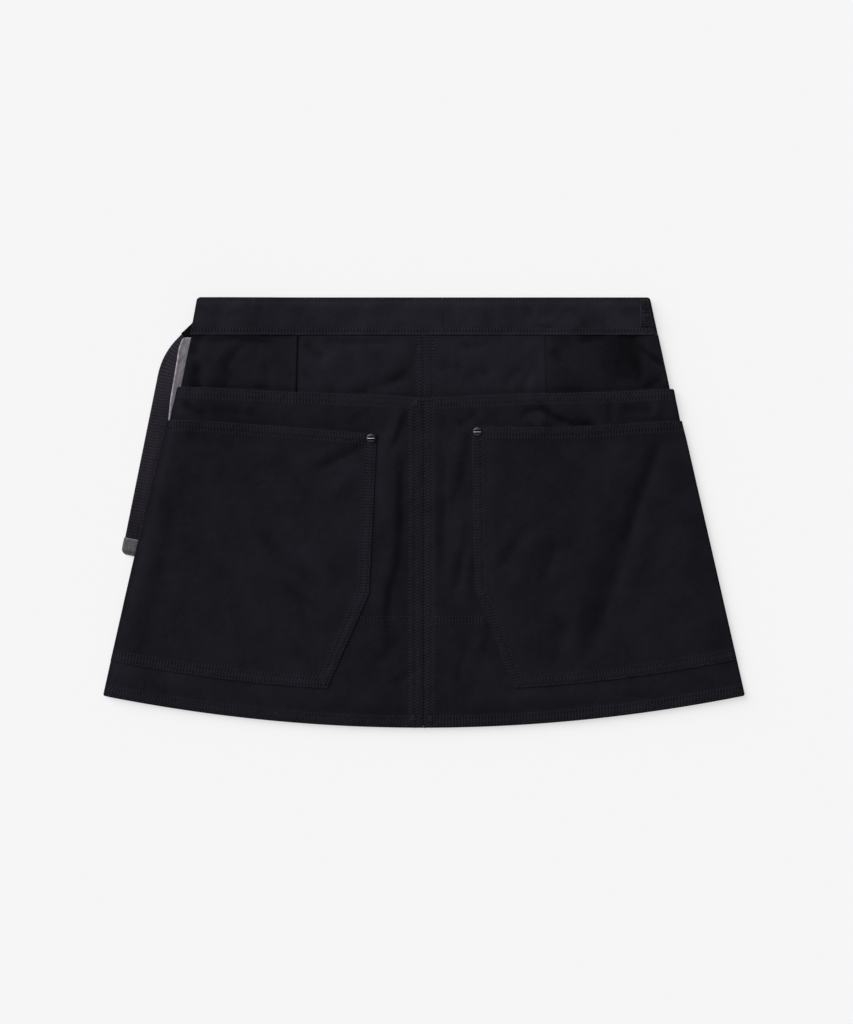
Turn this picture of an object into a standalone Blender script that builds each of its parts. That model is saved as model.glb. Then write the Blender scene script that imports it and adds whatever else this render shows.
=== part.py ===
"""A black canvas mini skirt with an apron front and two large patch pockets, laid flat on its back.

The waist lies towards +Y and the front faces up, towards +Z. Left and right are as seen from above,
with right towards +X. Every cut piece is a closed wall of its own. From the floor up they are the
hanging strap, the back, the body front, the apron, the patch pockets and the rivets, and each
layer follows the one below it. Sizes are in millimetres. A place on the skirt is given by x, from
the centre front, and drop, down from the top edge of the waistband.
"""

import math

import bmesh
import bpy
from mathutils import Vector

MM = 0.001

# Driving sizes of the skirt as it lies
LENGTH = 352.4
WAIST_HALF = 185.7
WAISTBAND_DEEP = 31.1
HEM_HALF = 262.4
HEM_SIDE_DROP = 326.0

# Thickness of each cloth, and the room between pieces
CANVAS = 1.2
WAISTBAND_THICK = 2.0
FACING_THICK = 1.0
KEEPER_THICK = 1.2
TAB_THICK = 1.3
SEAM_GAP = 0.3
LAYER_GAP = 0.5

# Turned edges, which are two or three plies where they are sewn down
TURN_WIDE = 9.2
TURN_STEP = 1.0
TURN_EXTRA = 0.4
SEAM_BAND = 10.0

# Side edge of each layer: drop, half width
WAISTBAND_SIDE = ((0.0, WAIST_HALF), (WAISTBAND_DEEP, 191.1))
BODY_SIDE = ((WAISTBAND_DEEP, 191.1), (75.0, 199.7), (326.0, 256.5))
APRON_SIDE = ((74.0, 203.0), (104.0, 209.1), (298.0, 256.6), (326.0, HEM_HALF))
POCKET_SIDE = ((100.0, 210.4), (166.0, 226.4), (298.0, 256.8))
BACK_SIDE = ((WAISTBAND_DEEP, 189.8), (75.0, 198.4), (104.0, 208.0), (326.0, 260.8))
FACING_SIDE = ((32.8, 197.8), (104.0, 210.5), (326.0, 259.5))
FACING_WIDE = 18.0

# Top edges of the apron and the pockets: x, drop
APRON_TOP = ((-203.0, 74.2), (-103.0, 77.1), (-20.0, 81.6), (0.0, 83.0), (79.0, 79.4), (203.0, 75.2))
POCKET_TOP_LEFT = ((-212.0, 100.6), (-190.0, 100.6), (-118.0, 105.3), (-37.0, 111.6))
POCKET_TOP_RIGHT = ((39.0, 105.6), (139.0, 105.0), (176.0, 102.6), (212.0, 101.2))

# Inner edge of each patch pocket, straight down and then slanting out: drop, distance from centre
POCKET_EDGE_LEFT = ((111.6, 37.6), (243.0, 44.2), (322.0, 79.4))
POCKET_EDGE_RIGHT = ((105.6, 39.4), (239.0, 42.6), (321.0, 75.6))
POCKET_BASE_ABOVE_HEM = 29.2

WAISTBAND_JOIN = 15.7
DART_X = 101.7
DART_DEEP = 0.2
DART_HALF = 1.6

# The webbing strap, from its sewn root down to its capped end. Angles are from straight down.
STRAP_ROOT = (-170.8, 15.6)
STRAP_ROOT_ANGLE = math.radians(42.0)
STRAP_ROOT_RUN = 30.0
STRAP_BEND_RADIUS = 60.0
STRAP_HANG_ANGLE = math.radians(11.3)
STRAP_HANG_RUN = 138.0
STRAP_WIDE = 25.0
STRAP_THICK = 1.7
TIP_LONG = 12.7
TIP_WIDE = 26.6
TIP_THICK = 2.1
TIP_CORNER = 6.5
STRAP_ROOM = 2.5
STRAP_ROOM_MARGIN = 3.0
STRAP_ROOM_RAMP = 28.0

KEEPER_SIDE = ((20.6, 190.3), (27.0, 195.4), (32.4, 197.2))
BACK_WAISTBAND_END = 180.0
TAB_START = 177.2
TAB_TOP = 1.8
TAB_BOTTOM = 24.2

RIVET_PLACES = {"rivet_left": (-43.5, 115.6), "rivet_right": (44.0, 110.4)}
RIVET_RADIUS = 3.9
RIVET_HIGH = 1.5

# How far the front stands off the back between its sewn lines
APRON_LOFT = 1.5
LOFT_FADE = 26.0
WAIST_RISE = 1.0
WAIST_RISE_RUN = 25.0
POCKET_GAPE = 1.2
POCKET_GAPE_RUN = 16.0

# Largest folds: x and drop of the two ends, height (below zero for a trough), half width
BODY_FOLDS = (
    (138.0, 32.0, 172.0, 60.0, -0.8, 12.0),
    (178.0, 70.0, 188.0, 62.0, 0.7, 8.0),
    (-44.0, 79.0, -12.0, 58.0, -0.8, 8.0),
    (-20.0, 45.0, -60.0, 75.0, 0.6, 12.0),
    (-186.0, 50.0, -190.0, 74.0, -0.6, 8.0),
)
APRON_FOLDS = (
    (-26.0, 105.0, -25.0, 235.0, 1.7, 6.0),
    (-25.0, 235.0, -35.0, 282.0, 1.1, 6.0),
    (26.0, 108.0, 27.0, 225.0, 1.3, 6.0),
    (199.0, 118.0, 140.0, 290.0, -1.3, 15.0),
    (166.0, 130.0, 108.0, 270.0, 0.8, 18.0),
    (-131.0, 190.0, -88.0, 250.0, -0.8, 13.0),
    (-88.0, 142.0, -52.0, 121.0, -0.7, 12.0),
    (96.0, 101.0, 98.0, 108.0, 0.9, 9.0),
)

# Plain colour, roughness and metallic value of each finish
FINISHES = {
    "canvas": ((0.012, 0.0115, 0.0155), 0.9, 0.0),
    "webbing": ((0.018, 0.0165, 0.02), 0.75, 0.0),
    "facing": ((0.16, 0.145, 0.165), 0.6, 0.0),
    "keeper": ((0.004, 0.004, 0.005), 0.95, 0.0),
    "leather": ((0.1, 0.098, 0.112), 0.7, 0.0),
    "gunmetal": ((0.12, 0.12, 0.13), 0.35, 1.0),
}


def clear_scene():
    for obj in list(bpy.data.objects):
        bpy.data.objects.remove(obj)


def finish(name):
    """The plain material of one finish, made once."""
    known = bpy.data.materials.get(name)
    if known:
        return known
    colour, roughness, metallic = FINISHES[name]
    material = bpy.data.materials.new(name)
    material.use_nodes = True
    shader = material.node_tree.nodes["Principled BSDF"]
    shader.inputs["Base Color"].default_value = (*colour, 1.0)
    shader.inputs["Roughness"].default_value = roughness
    shader.inputs["Metallic"].default_value = metallic
    return material


def place(x, drop, height):
    """A place on the skirt as a point in metres, with the origin under the middle of its outline."""
    return Vector((x * MM, (LENGTH / 2 - drop) * MM, height * MM))


def along(table, at):
    """The second column of a table at a value of its first, in straight runs between its rows."""
    for (start, low), (end, high) in zip(table, table[1:]):
        if at <= end:
            break
    return low + (high - low) * (at - start) / (end - start)


def smooth(share):
    """An even ramp from 0 to 1, level at both ends."""
    share = min(1.0, max(0.0, share))
    return share * share * (3 - 2 * share)


def hem_drop(x):
    """The hem is a shallow bow, lowest at the centre front."""
    return LENGTH - (LENGTH - HEM_SIDE_DROP) * (x / HEM_HALF) ** 2


def distance_to_line(x, drop, x1, drop1, x2, drop2):
    """How far a place is from the straight line between two others."""
    run_x, run_drop = x2 - x1, drop2 - drop1
    share = ((x - x1) * run_x + (drop - drop1) * run_drop) / (run_x**2 + run_drop**2)
    share = min(1.0, max(0.0, share))
    return math.hypot(x - x1 - share * run_x, drop - drop1 - share * run_drop)


def strap_station(run):
    """Place and heading of the strap's middle line at a run from its root: straight, bend, straight."""
    x, drop = STRAP_ROOT
    angle = STRAP_ROOT_ANGLE
    straight = min(run, STRAP_ROOT_RUN)
    x -= straight * math.sin(angle)
    drop += straight * math.cos(angle)
    turned = min(run - straight, STRAP_BEND_RADIUS * (STRAP_ROOT_ANGLE - STRAP_HANG_ANGLE))
    end_angle = angle - turned / STRAP_BEND_RADIUS
    x -= STRAP_BEND_RADIUS * (math.cos(end_angle) - math.cos(angle))
    drop += STRAP_BEND_RADIUS * (math.sin(angle) - math.sin(end_angle))
    rest = run - straight - turned
    x -= rest * math.sin(end_angle)
    drop += rest * math.cos(end_angle)
    return x, drop, end_angle


STRAP_LONG = (
    STRAP_ROOT_RUN + STRAP_BEND_RADIUS * (STRAP_ROOT_ANGLE - STRAP_HANG_ANGLE) + STRAP_HANG_RUN
)
STRAP_LINE = [strap_station(STRAP_LONG * k / 14)[:2] for k in range(15)]
STRAP_LINE.append(strap_station(STRAP_LONG + TIP_LONG)[:2])


def strap_room(x, drop):
    """How far the cloth is lifted where it lies over the strap."""
    away = min(
        distance_to_line(x, drop, *start, *end) for start, end in zip(STRAP_LINE, STRAP_LINE[1:])
    )
    past = away - STRAP_WIDE / 2 - STRAP_ROOM_MARGIN
    return STRAP_ROOM * (1 - smooth(past / STRAP_ROOM_RAMP))


def folds(table, x, drop):
    """The height that a table of folds adds at a place."""
    total = 0.0
    for x1, drop1, x2, drop2, height, half_width in table:
        away = distance_to_line(x, drop, x1, drop1, x2, drop2)
        total += height * math.exp(-((away / half_width) ** 2))
    return total


def body_under(x, drop):
    """Underside of the body front, which rises to meet the middle of the waistband."""
    rise = WAIST_RISE * (1 - smooth((drop - WAISTBAND_DEEP) / WAIST_RISE_RUN))
    shape = max(0.0, rise + 0.8 * smooth((drop - 40) / 20) + folds(BODY_FOLDS, x, drop))
    return CANVAS + LAYER_GAP + strap_room(x, drop) + shape * (1 - smooth((drop - 85) / 20))


def apron_under(x, drop):
    """Underside of the apron, puffed up between its sewn centre, sides and hem."""
    side = along(APRON_SIDE, drop) - abs(x)
    fade = smooth(side / LOFT_FADE) * smooth((hem_drop(x) - drop) / LOFT_FADE) * smooth(abs(x) / 16)
    shape = fade * max(0.0, APRON_LOFT + folds(APRON_FOLDS, x, drop))
    below = CANVAS + LAYER_GAP + CANVAS + LAYER_GAP
    return below + strap_room(x, drop) + shape + yoke_swell(x, drop)


def yoke_swell(x, drop):
    """The apron's mouth lies over the swell that the yoke keeps just under it."""
    shape = max(0.0, 0.8 + folds(BODY_FOLDS, x, drop))
    return (shape + 0.2) * (1 - smooth((drop - 88) / 24))


def pocket_under(x, drop, top):
    """Underside of a patch pocket, which follows the apron and gapes a little at its mouth."""
    below_mouth = drop - along(top, x)
    from_ends = min(abs(x) - 39.0, along(POCKET_SIDE, drop) - abs(x))
    gape = POCKET_GAPE * smooth(1 - below_mouth / POCKET_GAPE_RUN) * smooth(from_ends / 60)
    return apron_under(x, drop) + CANVAS + LAYER_GAP + gape


def turned(distance):
    """Extra thickness within a sewn turn, at a distance from its edge."""
    return TURN_EXTRA if distance < TURN_WIDE + TURN_STEP / 2 else 0.0


def apron_thick(x, drop):
    seam = TURN_EXTRA if abs(x) < SEAM_BAND + TURN_STEP / 2 else 0.0
    edge = max(turned(drop - along(APRON_TOP, x)), turned(hem_drop(x) - drop))
    return CANVAS + max(seam, edge)


def spread(length, near_start, steps, near_end):
    """Distances along a line: some set in from its start, even steps, and some set in from its end."""
    first = near_start[-1]
    last = length - near_end[-1]
    middle = [first + (last - first) * k / steps for k in range(1, steps)]
    return [*near_start, *middle, *(length - inset for inset in reversed(near_end))]


def round_corner(from_side, from_end, radius):
    """Moves a point near a square corner so that the corner becomes a quarter circle."""
    if from_side >= radius or from_end >= radius:
        return from_side, from_end
    s = 1 - from_side / radius
    t = 1 - from_end / radius
    return (
        radius * (1 - s * math.sqrt(1 - t * t / 2)),
        radius * (1 - t * math.sqrt(1 - s * s / 2)),
    )


def grid(left, right, top, bottom, across, down, corners=(0, 0, 0, 0)):
    """Rows of places that fill a panel between its four edges.

    left and right give x at a drop, and top and bottom give the drop at an x. across and down are
    what spread() takes after a length. corners are the radii at top left, top right, bottom left
    and bottom right.
    """
    rows = []
    for r in range(len(spread(1.0, *down))):
        row = []
        for c in range(len(spread(1.0, *across))):
            x, drop = 0.0, (top(0.0) + bottom(0.0)) / 2
            for _ in range(8):
                start, wide = left(drop), right(drop) - left(drop)
                head, deep = top(x), bottom(x) - top(x)
                a = spread(wide, *across)[c]
                b = spread(deep, *down)[r]
                on_right, at_bottom = a > wide / 2, b > deep / 2
                radius = corners[on_right + 2 * at_bottom]
                from_side, from_end = wide - a if on_right else a, deep - b if at_bottom else b
                from_side, from_end = round_corner(from_side, from_end, radius)
                x = start + (wide - from_side if on_right else from_side)
                drop = head + (deep - from_end if at_bottom else from_end)
            row.append((x, drop))
        rows.append(row)
    return rows


def wall(name, rows, under, thick, finish_name):
    """One closed piece of cloth: an upper and a lower skin over rows of places, joined round the rim."""
    bm = bmesh.new()
    lower = [[bm.verts.new(place(x, drop, under(x, drop))) for x, drop in row] for row in rows]
    upper = [
        [bm.verts.new(place(x, drop, under(x, drop) + thick(x, drop))) for x, drop in row]
        for row in rows
    ]
    for skin in (lower, upper):
        for row, following in zip(skin, skin[1:]):
            for j in range(len(row) - 1):
                bm.faces.new((row[j], row[j + 1], following[j + 1], following[j]))
    rims = [
        [
            *skin[0],
            *(row[-1] for row in skin[1:-1]),
            *reversed(skin[-1]),
            *(row[0] for row in skin[-2:0:-1]),
        ]
        for skin in (lower, upper)
    ]
    for j, vert in enumerate(rims[0]):
        bm.faces.new((rims[0][j - 1], vert, rims[1][j], rims[1][j - 1]))
    bmesh.ops.recalc_face_normals(bm, faces=bm.faces)
    mesh = bpy.data.meshes.new(name)
    bm.to_mesh(mesh)
    bm.free()
    return add_object(name, mesh, finish_name)


def add_object(name, mesh, finish_name):
    mesh.materials.append(finish(finish_name))
    mesh.shade_smooth()
    mesh.set_sharp_from_angle(angle=math.radians(35))
    obj = bpy.data.objects.new(name, mesh)
    bpy.context.scene.collection.objects.link(obj)
    return obj


def level(value):
    """A thickness or an edge that is the same all over."""
    return lambda *place_on_skirt: value


LEFT_INSETS = (0, 8, 16, 24, 32, 40, 48, 57)


def make_strap():
    """The webbing strap that hangs at the left side, and the cap folded over its free end."""
    half = STRAP_WIDE / 2
    rows = []
    for k in range(23):
        x, drop, angle = strap_station((STRAP_LONG - SEAM_GAP) * k / 22)
        sides = (-half, -half / 3, half / 3, half)
        rows.append([(x + s * math.cos(angle), drop + s * math.sin(angle)) for s in sides])
    wall("strap", rows, level(0.0), level(STRAP_THICK), "webbing")

    rows = []
    for b in spread(TIP_LONG, (0,), 2, (0, 2.2, TIP_CORNER)):
        row = []
        for a in spread(TIP_WIDE, (0, 2.2, TIP_CORNER), 2, (0, 2.2, TIP_CORNER)):
            on_right = a > TIP_WIDE / 2
            from_side, from_end = round_corner(TIP_WIDE - a if on_right else a, TIP_LONG - b, TIP_CORNER)
            across = (TIP_WIDE / 2 - from_side) * (1 if on_right else -1)
            x, drop, angle = strap_station(STRAP_LONG + TIP_LONG - from_end)
            row.append((x + across * math.cos(angle), drop + across * math.sin(angle)))
        rows.append(row)
    wall("strap_tip", rows, level(0.0), level(TIP_THICK), "leather")


def make_back():
    """Back panel, its waistband, the grey facing of the left side opening and the strap's keeper."""

    def facing_outer(drop):
        return -along(FACING_SIDE, drop)

    def facing_inner(drop):
        return facing_outer(drop) + FACING_WIDE

    def back_left(drop):
        return facing_inner(drop) + SEAM_GAP

    def back_right(drop):
        return along(BACK_SIDE, drop)

    def hem_inside(x):
        return hem_drop(x) - 1.0

    rows = grid(back_left, back_right, level(WAISTBAND_DEEP + SEAM_GAP), hem_inside,
                ((0, 8, 16, 24, 32, 40), 7, (0, 4)), ((0, 8), 17, (0, 4)), (0, 0, 0, 4))
    wall("back_panel", rows, strap_room, level(CANVAS), "canvas")

    rows = grid(facing_outer, facing_inner, level(FACING_SIDE[0][0]), hem_inside,
                ((0, 1.2, 4), 2, (0,)), ((0, 1.2, 4), 16, (0, 4)), (4, 0, 4, 0))
    wall("side_facing", rows, strap_room, level(FACING_THICK), "facing")

    def waist_right(drop):
        return along(WAISTBAND_SIDE, drop) - 0.6

    rows = grid(level(-BACK_WAISTBAND_END), waist_right, level(0.5), level(WAISTBAND_DEEP),
                ((0, 8, 16, 24, 32, 40, 48, 56, 64), 5, (0, 3)), ((0, 3), 4, (0,)), (0, 3, 0, 0))
    wall("back_waistband", rows, strap_room, level(WAISTBAND_THICK), "canvas")

    def keeper_outer(drop):
        return -along(KEEPER_SIDE, drop)

    top, bottom = KEEPER_SIDE[0][0], KEEPER_SIDE[-1][0]
    rows = grid(keeper_outer, level(-BACK_WAISTBAND_END - SEAM_GAP), level(top), level(bottom),
                ((0,), 2, (0,)), ((0, KEEPER_SIDE[1][0] - top), 1, (0,)))
    wall("strap_keeper", rows, strap_room, level(KEEPER_THICK), "keeper")


def make_body():
    """The two halves of the body front, with a dart in each and a seam at the centre."""

    def thick(x, drop):
        dart = max(0.0, 1 - abs(abs(x) - DART_X) / DART_HALF)
        return CANVAS - DART_DEEP * dart * (1 - smooth((drop - 80) / 20))

    def side(drop):
        return along(BODY_SIDE, drop)

    def hem_inside(x):
        return hem_drop(x) - 1.6

    dart_insets = (0, 12, 24, 40, 60, 80, DART_X - DART_HALF, DART_X, DART_X + DART_HALF)
    centre = tuple(inset - SEAM_GAP / 2 if inset else 0 for inset in dart_insets)
    seam = level(WAISTBAND_DEEP + SEAM_GAP)
    down = ((0, 9, 18, 28, 38, 48, 60), 10, (0,))
    rows = grid(lambda drop: -side(drop), level(-SEAM_GAP / 2), seam, hem_inside,
                (LEFT_INSETS, 3, centre), down)
    wall("body_left", rows, body_under, thick, "canvas")
    rows = grid(level(SEAM_GAP / 2), side, seam, hem_inside, (centre, 4, (0, 10, 20)), down)
    wall("body_right", rows, body_under, thick, "canvas")


def make_waistband():
    """Front waistband in two lengths, with the webbing tab sewn on its right end."""

    def under(x, drop):
        return WAISTBAND_THICK + SEAM_GAP + strap_room(x, drop)

    def side(drop):
        return along(WAISTBAND_SIDE, drop)

    down = ((0, 1.0, 3.2), 4, (0,))
    join_left, join_right = level(WAISTBAND_JOIN - SEAM_GAP / 2), level(WAISTBAND_JOIN + SEAM_GAP / 2)
    rows = grid(lambda drop: -side(drop), join_left, level(0.0), level(WAISTBAND_DEEP),
                ((0, 1.0, 3.2, 10, 18, 26, 34, 42, 50, 58, 66, 75), 5, (0,)), down, (3.2, 0, 0, 0))
    wall("waistband_left", rows, under, level(WAISTBAND_THICK), "canvas")
    rows = grid(join_right, side, level(0.0), level(WAISTBAND_DEEP), ((0,), 8, (0, 1.0, 3.2)), down,
                (0, 3.2, 0, 0))
    wall("waistband_right", rows, under, level(WAISTBAND_THICK), "canvas")

    rows = grid(level(TAB_START), lambda drop: side(drop) - 0.5, level(TAB_TOP), level(TAB_BOTTOM),
                ((0,), 3, (0,)), ((0,), 4, (0,)))
    above = WAISTBAND_THICK + SEAM_GAP + WAISTBAND_THICK + SEAM_GAP
    wall("waist_tab", rows, level(above), level(TAB_THICK), "webbing")


def make_apron():
    """The two halves of the apron, joined down the centre front and open along their top."""

    def side(drop):
        return along(APRON_SIDE, drop)

    def top(x):
        return along(APRON_TOP, x)

    near_seam = (0, SEAM_BAND, SEAM_BAND + TURN_STEP, 16, 21, 26, 31, 37, 44)
    down = ((0, TURN_WIDE, TURN_WIDE + TURN_STEP, 20), 17, (0, 4, TURN_WIDE, TURN_WIDE + TURN_STEP))
    rows = grid(lambda drop: -side(drop), level(-SEAM_GAP / 2), top, hem_drop,
                (LEFT_INSETS, 11, near_seam), down, (3.0, 0, 4.0, 0))
    wall("apron_left", rows, apron_under, apron_thick, "canvas")
    rows = grid(level(SEAM_GAP / 2), side, top, hem_drop, (near_seam, 13, (0, 4, 12)), down,
                (0, 3.0, 0, 4.0))
    wall("apron_right", rows, apron_under, apron_thick, "canvas")


def make_pocket(name, edge, top_table, sign):
    """One patch pocket: open at the top, with a slanting lower inner corner."""

    def inner(drop):
        return sign * along(edge, drop)

    def outer(drop):
        return sign * along(POCKET_SIDE, drop)

    def top(x):
        return along(top_table, x)

    def bottom(x):
        return hem_drop(x) - POCKET_BASE_ABOVE_HEM

    def under(x, drop):
        return pocket_under(x, drop, top_table)

    def thick(x, drop):
        from_edge = abs(x - inner(drop))
        return CANVAS + max(turned(drop - top(x)), turned(bottom(x) - drop), turned(from_edge))

    turn = (0, TURN_WIDE, TURN_WIDE + TURN_STEP)
    down = ((*turn, 20), 13, turn)
    if sign < 0:
        rows = grid(outer, inner, top, bottom, (LEFT_INSETS, 9, turn), down)
    else:
        rows = grid(inner, outer, top, bottom, (turn, 11, (0, 4, 12)), down)
    wall(name, rows, under, thick, "canvas")


def make_rivet(name, top_table):
    """A flat-domed rivet cap, turned on its own axis, that lies on its pocket's upper corner."""
    x, drop = RIVET_PLACES[name]
    profile = ((0, 0), (0.94, 0), (1.0, 0.22), (0.95, 0.55), (0.72, 0.86), (0.4, 1.0), (0, 1.0))
    bm = bmesh.new()
    verts = [bm.verts.new((r * RIVET_RADIUS * MM, 0, z * RIVET_HIGH * MM)) for r, z in profile]
    edges = [bm.edges.new(pair) for pair in zip(verts, verts[1:])]
    bmesh.ops.spin(bm, geom=[*verts, *edges], axis=(0, 0, 1), cent=(0, 0, 0), angle=2 * math.pi,
                   steps=20, use_merge=True)
    bmesh.ops.remove_doubles(bm, verts=bm.verts, dist=1e-6)
    bmesh.ops.recalc_face_normals(bm, faces=bm.faces)
    mesh = bpy.data.meshes.new(name)
    bm.to_mesh(mesh)
    bm.free()
    round_it = [(x + RIVET_RADIUS * math.cos(k), drop + RIVET_RADIUS * math.sin(k)) for k in range(7)]
    seat = max(pocket_under(*spot, top_table) for spot in round_it) + CANVAS + TURN_EXTRA
    rivet = add_object(name, mesh, "gunmetal")
    rivet.location = place(x, drop, seat + SEAM_GAP)


def main():
    clear_scene()
    make_strap()
    make_back()
    make_body()
    make_waistband()
    make_apron()
    make_pocket("pocket_left", POCKET_EDGE_LEFT, POCKET_TOP_LEFT, -1)
    make_pocket("pocket_right", POCKET_EDGE_RIGHT, POCKET_TOP_RIGHT, 1)
    make_rivet("rivet_left", POCKET_TOP_LEFT)
    make_rivet("rivet_right", POCKET_TOP_RIGHT)


main()
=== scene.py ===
# %% [markdown]
# # A black canvas mini skirt, laid flat
#
# The skirt lies on its back on pale paper and is seen from straight above. It has a waistband, a
# short body, an apron front that runs down to the hem, and two large patch pockets that reach round
# to the side seams. A webbing strap hangs out at the left, beside a strip of grey facing.
#
# The imported model holds each cut piece as a plain wall of cloth. This lesson dresses every one of
# them: cloth with rolled edges and creases, rows of stitches, ribbed webbing, rivets.

# %% Load the imported model
import math

import bmesh
import bpy
import numpy as np
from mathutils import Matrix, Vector


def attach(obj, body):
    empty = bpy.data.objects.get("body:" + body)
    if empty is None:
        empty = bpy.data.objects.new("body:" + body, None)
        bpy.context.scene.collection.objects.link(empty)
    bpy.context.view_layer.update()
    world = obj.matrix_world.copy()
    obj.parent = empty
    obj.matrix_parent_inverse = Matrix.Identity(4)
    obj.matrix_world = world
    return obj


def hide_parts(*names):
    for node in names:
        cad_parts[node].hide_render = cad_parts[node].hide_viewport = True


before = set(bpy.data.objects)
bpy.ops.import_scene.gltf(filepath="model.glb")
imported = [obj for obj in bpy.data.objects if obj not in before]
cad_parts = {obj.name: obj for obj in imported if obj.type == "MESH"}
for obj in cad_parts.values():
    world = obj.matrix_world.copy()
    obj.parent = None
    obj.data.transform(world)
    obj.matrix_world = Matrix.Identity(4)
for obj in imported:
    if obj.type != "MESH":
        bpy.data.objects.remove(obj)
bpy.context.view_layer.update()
print("packed nodes:", len(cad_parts))

# %% [markdown]
# Every size below is in millimetres. A place on the skirt is x, from the centre front, and drop,
# down from the top of the waistband. The creases were read off the photograph, so their tables use
# its pixels, and two small helpers turn those into places on the skirt.

# %% Places on the skirt
MM = 0.001
PIXEL = 0.82
CENTRE_PX = 423.5
TOP_PX = 297.0

LENGTH = 352.4
WAISTBAND_DEEP = 31.1
HEM_HALF = 262.4
HEM_CENTRE_DROP, HEM_SIDE_DROP = 353.4, 327.3


def x_of(px):
    return (np.asarray(px, float) - CENTRE_PX) * PIXEL


def drop_of(py):
    return (np.asarray(py, float) - TOP_PX) * PIXEL


def along(table, at):
    """The second column of a table at a value of its first."""
    rows = np.array(table)
    return np.interp(at, rows[:, 0], rows[:, 1])


def hem_drop(x):
    """The hem is a shallow bow, lowest at the centre front."""
    return HEM_CENTRE_DROP - (HEM_CENTRE_DROP - HEM_SIDE_DROP) * (x / HEM_HALF) ** 2


def smooth(share):
    share = np.clip(share, 0.0, 1.0)
    return share * share * (3 - 2 * share)


print("a pixel of the photograph is", PIXEL, "mm of the skirt")

# %% [markdown]
# ## Camera
#
# A catalogue picture of a garment laid flat is taken from high above with a long lens, so that
# nothing leans. The camera looks straight down, and at the cloth's height its view is as tall as the
# photograph's.

# %% Camera
PHOTO_TALL = 1024
LENS, FILM = 85.0, 36.0
AIM_PX = 426.5
CLOTH_HIGH = 0.006

camera = bpy.data.objects.new("camera", bpy.data.cameras.new("camera"))
bpy.context.scene.collection.objects.link(camera)
bpy.context.scene.camera = camera
camera.data.lens = LENS
camera.data.sensor_width = FILM
view_tall = PHOTO_TALL * PIXEL * MM
camera_high = view_tall * LENS / FILM + CLOTH_HIGH
camera.location = (float(x_of(AIM_PX)) * MM, 0.0, camera_high)
print("camera height:", round(camera_high, 3), "m")

# %% [markdown]
# ## Paper and light
#
# The paper looks near-white because it glows, as on a light table. Its own colour is a mid grey, so
# the shadows on it stay faint. Black cloth shows its folds only where light falls across it, so a
# broad soft key light comes in low from the upper left, and an even sky fills the shadows.

# %% Paper and light
PAPER_LOW = -0.0004
PAPER_REACH = 6.0
PAPER_GREY = (0.31, 0.31, 0.31, 1)
PAPER_GLOW = 0.6
SKY = 0.33
KEY = 4.37
KEY_HEIGHT = math.radians(30)
KEY_BEARING = math.radians(141)
KEY_SOFT = math.radians(55)

paper_mesh = bpy.data.meshes.new("paper")
paper_corners = [
    (sign_x * PAPER_REACH, sign_y * PAPER_REACH, PAPER_LOW)
    for sign_x, sign_y in ((-1, -1), (1, -1), (1, 1), (-1, 1))
]
paper_mesh.from_pydata(paper_corners, [], [(0, 1, 2, 3)])
paper = bpy.data.objects.new("paper", paper_mesh)
bpy.context.scene.collection.objects.link(paper)
paper_finish = bpy.data.materials.new("paper")
paper_finish.use_nodes = True
paper_shader = paper_finish.node_tree.nodes["Principled BSDF"]
paper_shader.inputs["Base Color"].default_value = PAPER_GREY
paper_shader.inputs["Emission Color"].default_value = (1, 1, 1, 1)
paper_shader.inputs["Emission Strength"].default_value = PAPER_GLOW
paper_shader.inputs["Roughness"].default_value = 0.9
paper_shader.inputs["Specular IOR Level"].default_value = 0.0
paper_mesh.materials.append(paper_finish)

sky = bpy.data.worlds.new("sky")
sky.use_nodes = True
sky.node_tree.nodes["Background"].inputs["Color"].default_value = (1, 1, 1, 1)
sky.node_tree.nodes["Background"].inputs["Strength"].default_value = SKY
bpy.context.scene.world = sky

key = bpy.data.objects.new("key", bpy.data.lights.new("key", "SUN"))
key.data.energy = KEY
key.data.angle = KEY_SOFT
towards = Vector((
    math.cos(KEY_HEIGHT) * math.cos(KEY_BEARING),
    math.cos(KEY_HEIGHT) * math.sin(KEY_BEARING),
    math.sin(KEY_HEIGHT),
))
key.rotation_euler = towards.to_track_quat("Z", "Y").to_euler()
bpy.context.scene.collection.objects.link(key)
bpy.context.scene.view_settings.view_transform = "Standard"
print("key light from", [round(v, 2) for v in towards])

# %% [markdown]
# ## How the cloth lies
#
# The layers are stacked: back, body front, apron, patch pockets. Each follows the one below, so one
# set of relief functions serves them all, and no layer cuts into the next. The large forms are the
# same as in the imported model. They are the lift over the hidden strap, the puff of the apron
# between its sewn edges, and the gape of the pockets.

# %% Large forms
CANVAS = 1.2
APRON_CLOTH, POCKET_CLOTH = 0.9, 0.66
LAYER_GAP, POCKET_GAP = 0.2, 0.08
WAISTBAND_THICK = 2.0
SEAM_SLIT = 0.06
TURN_EXTRA = 0.12

# each side is a left and a right table of drop and distance from the centre
BODY_SIDE = (
    ((31.1, 190.4), (75.0, 199.4), (326.0, 255.0)),
    ((31.1, 192.8), (75.0, 202.3), (326.0, 256.4)),
)
APRON_SIDE = (
    ((73.0, 201.7), (104.0, 209.1), (298.0, 256.9), (328.0, 263.5)),
    ((74.0, 205.4), (84.0, 207.2), (99.0, 210.4), (298.0, 257.6), (328.0, 264.4)),
)
POCKET_SIDE = (
    ((100.0, 210.5), (166.0, 226.5), (298.0, 257.0)),
    ((100.0, 211.7), (117.0, 216.1), (298.0, 257.5)),
)
WAISTBAND_SIDE = (((0.0, 185.6), (31.1, 191.3)), ((0.0, 186.0), (31.1, 192.7)))


def side_at(sides, x, drop):
    """How far from the centre a piece's side lies, on the side of the centre that x is on."""
    left, right = sides
    return np.where(np.asarray(x) < 0, along(left, drop), along(right, drop))


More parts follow.
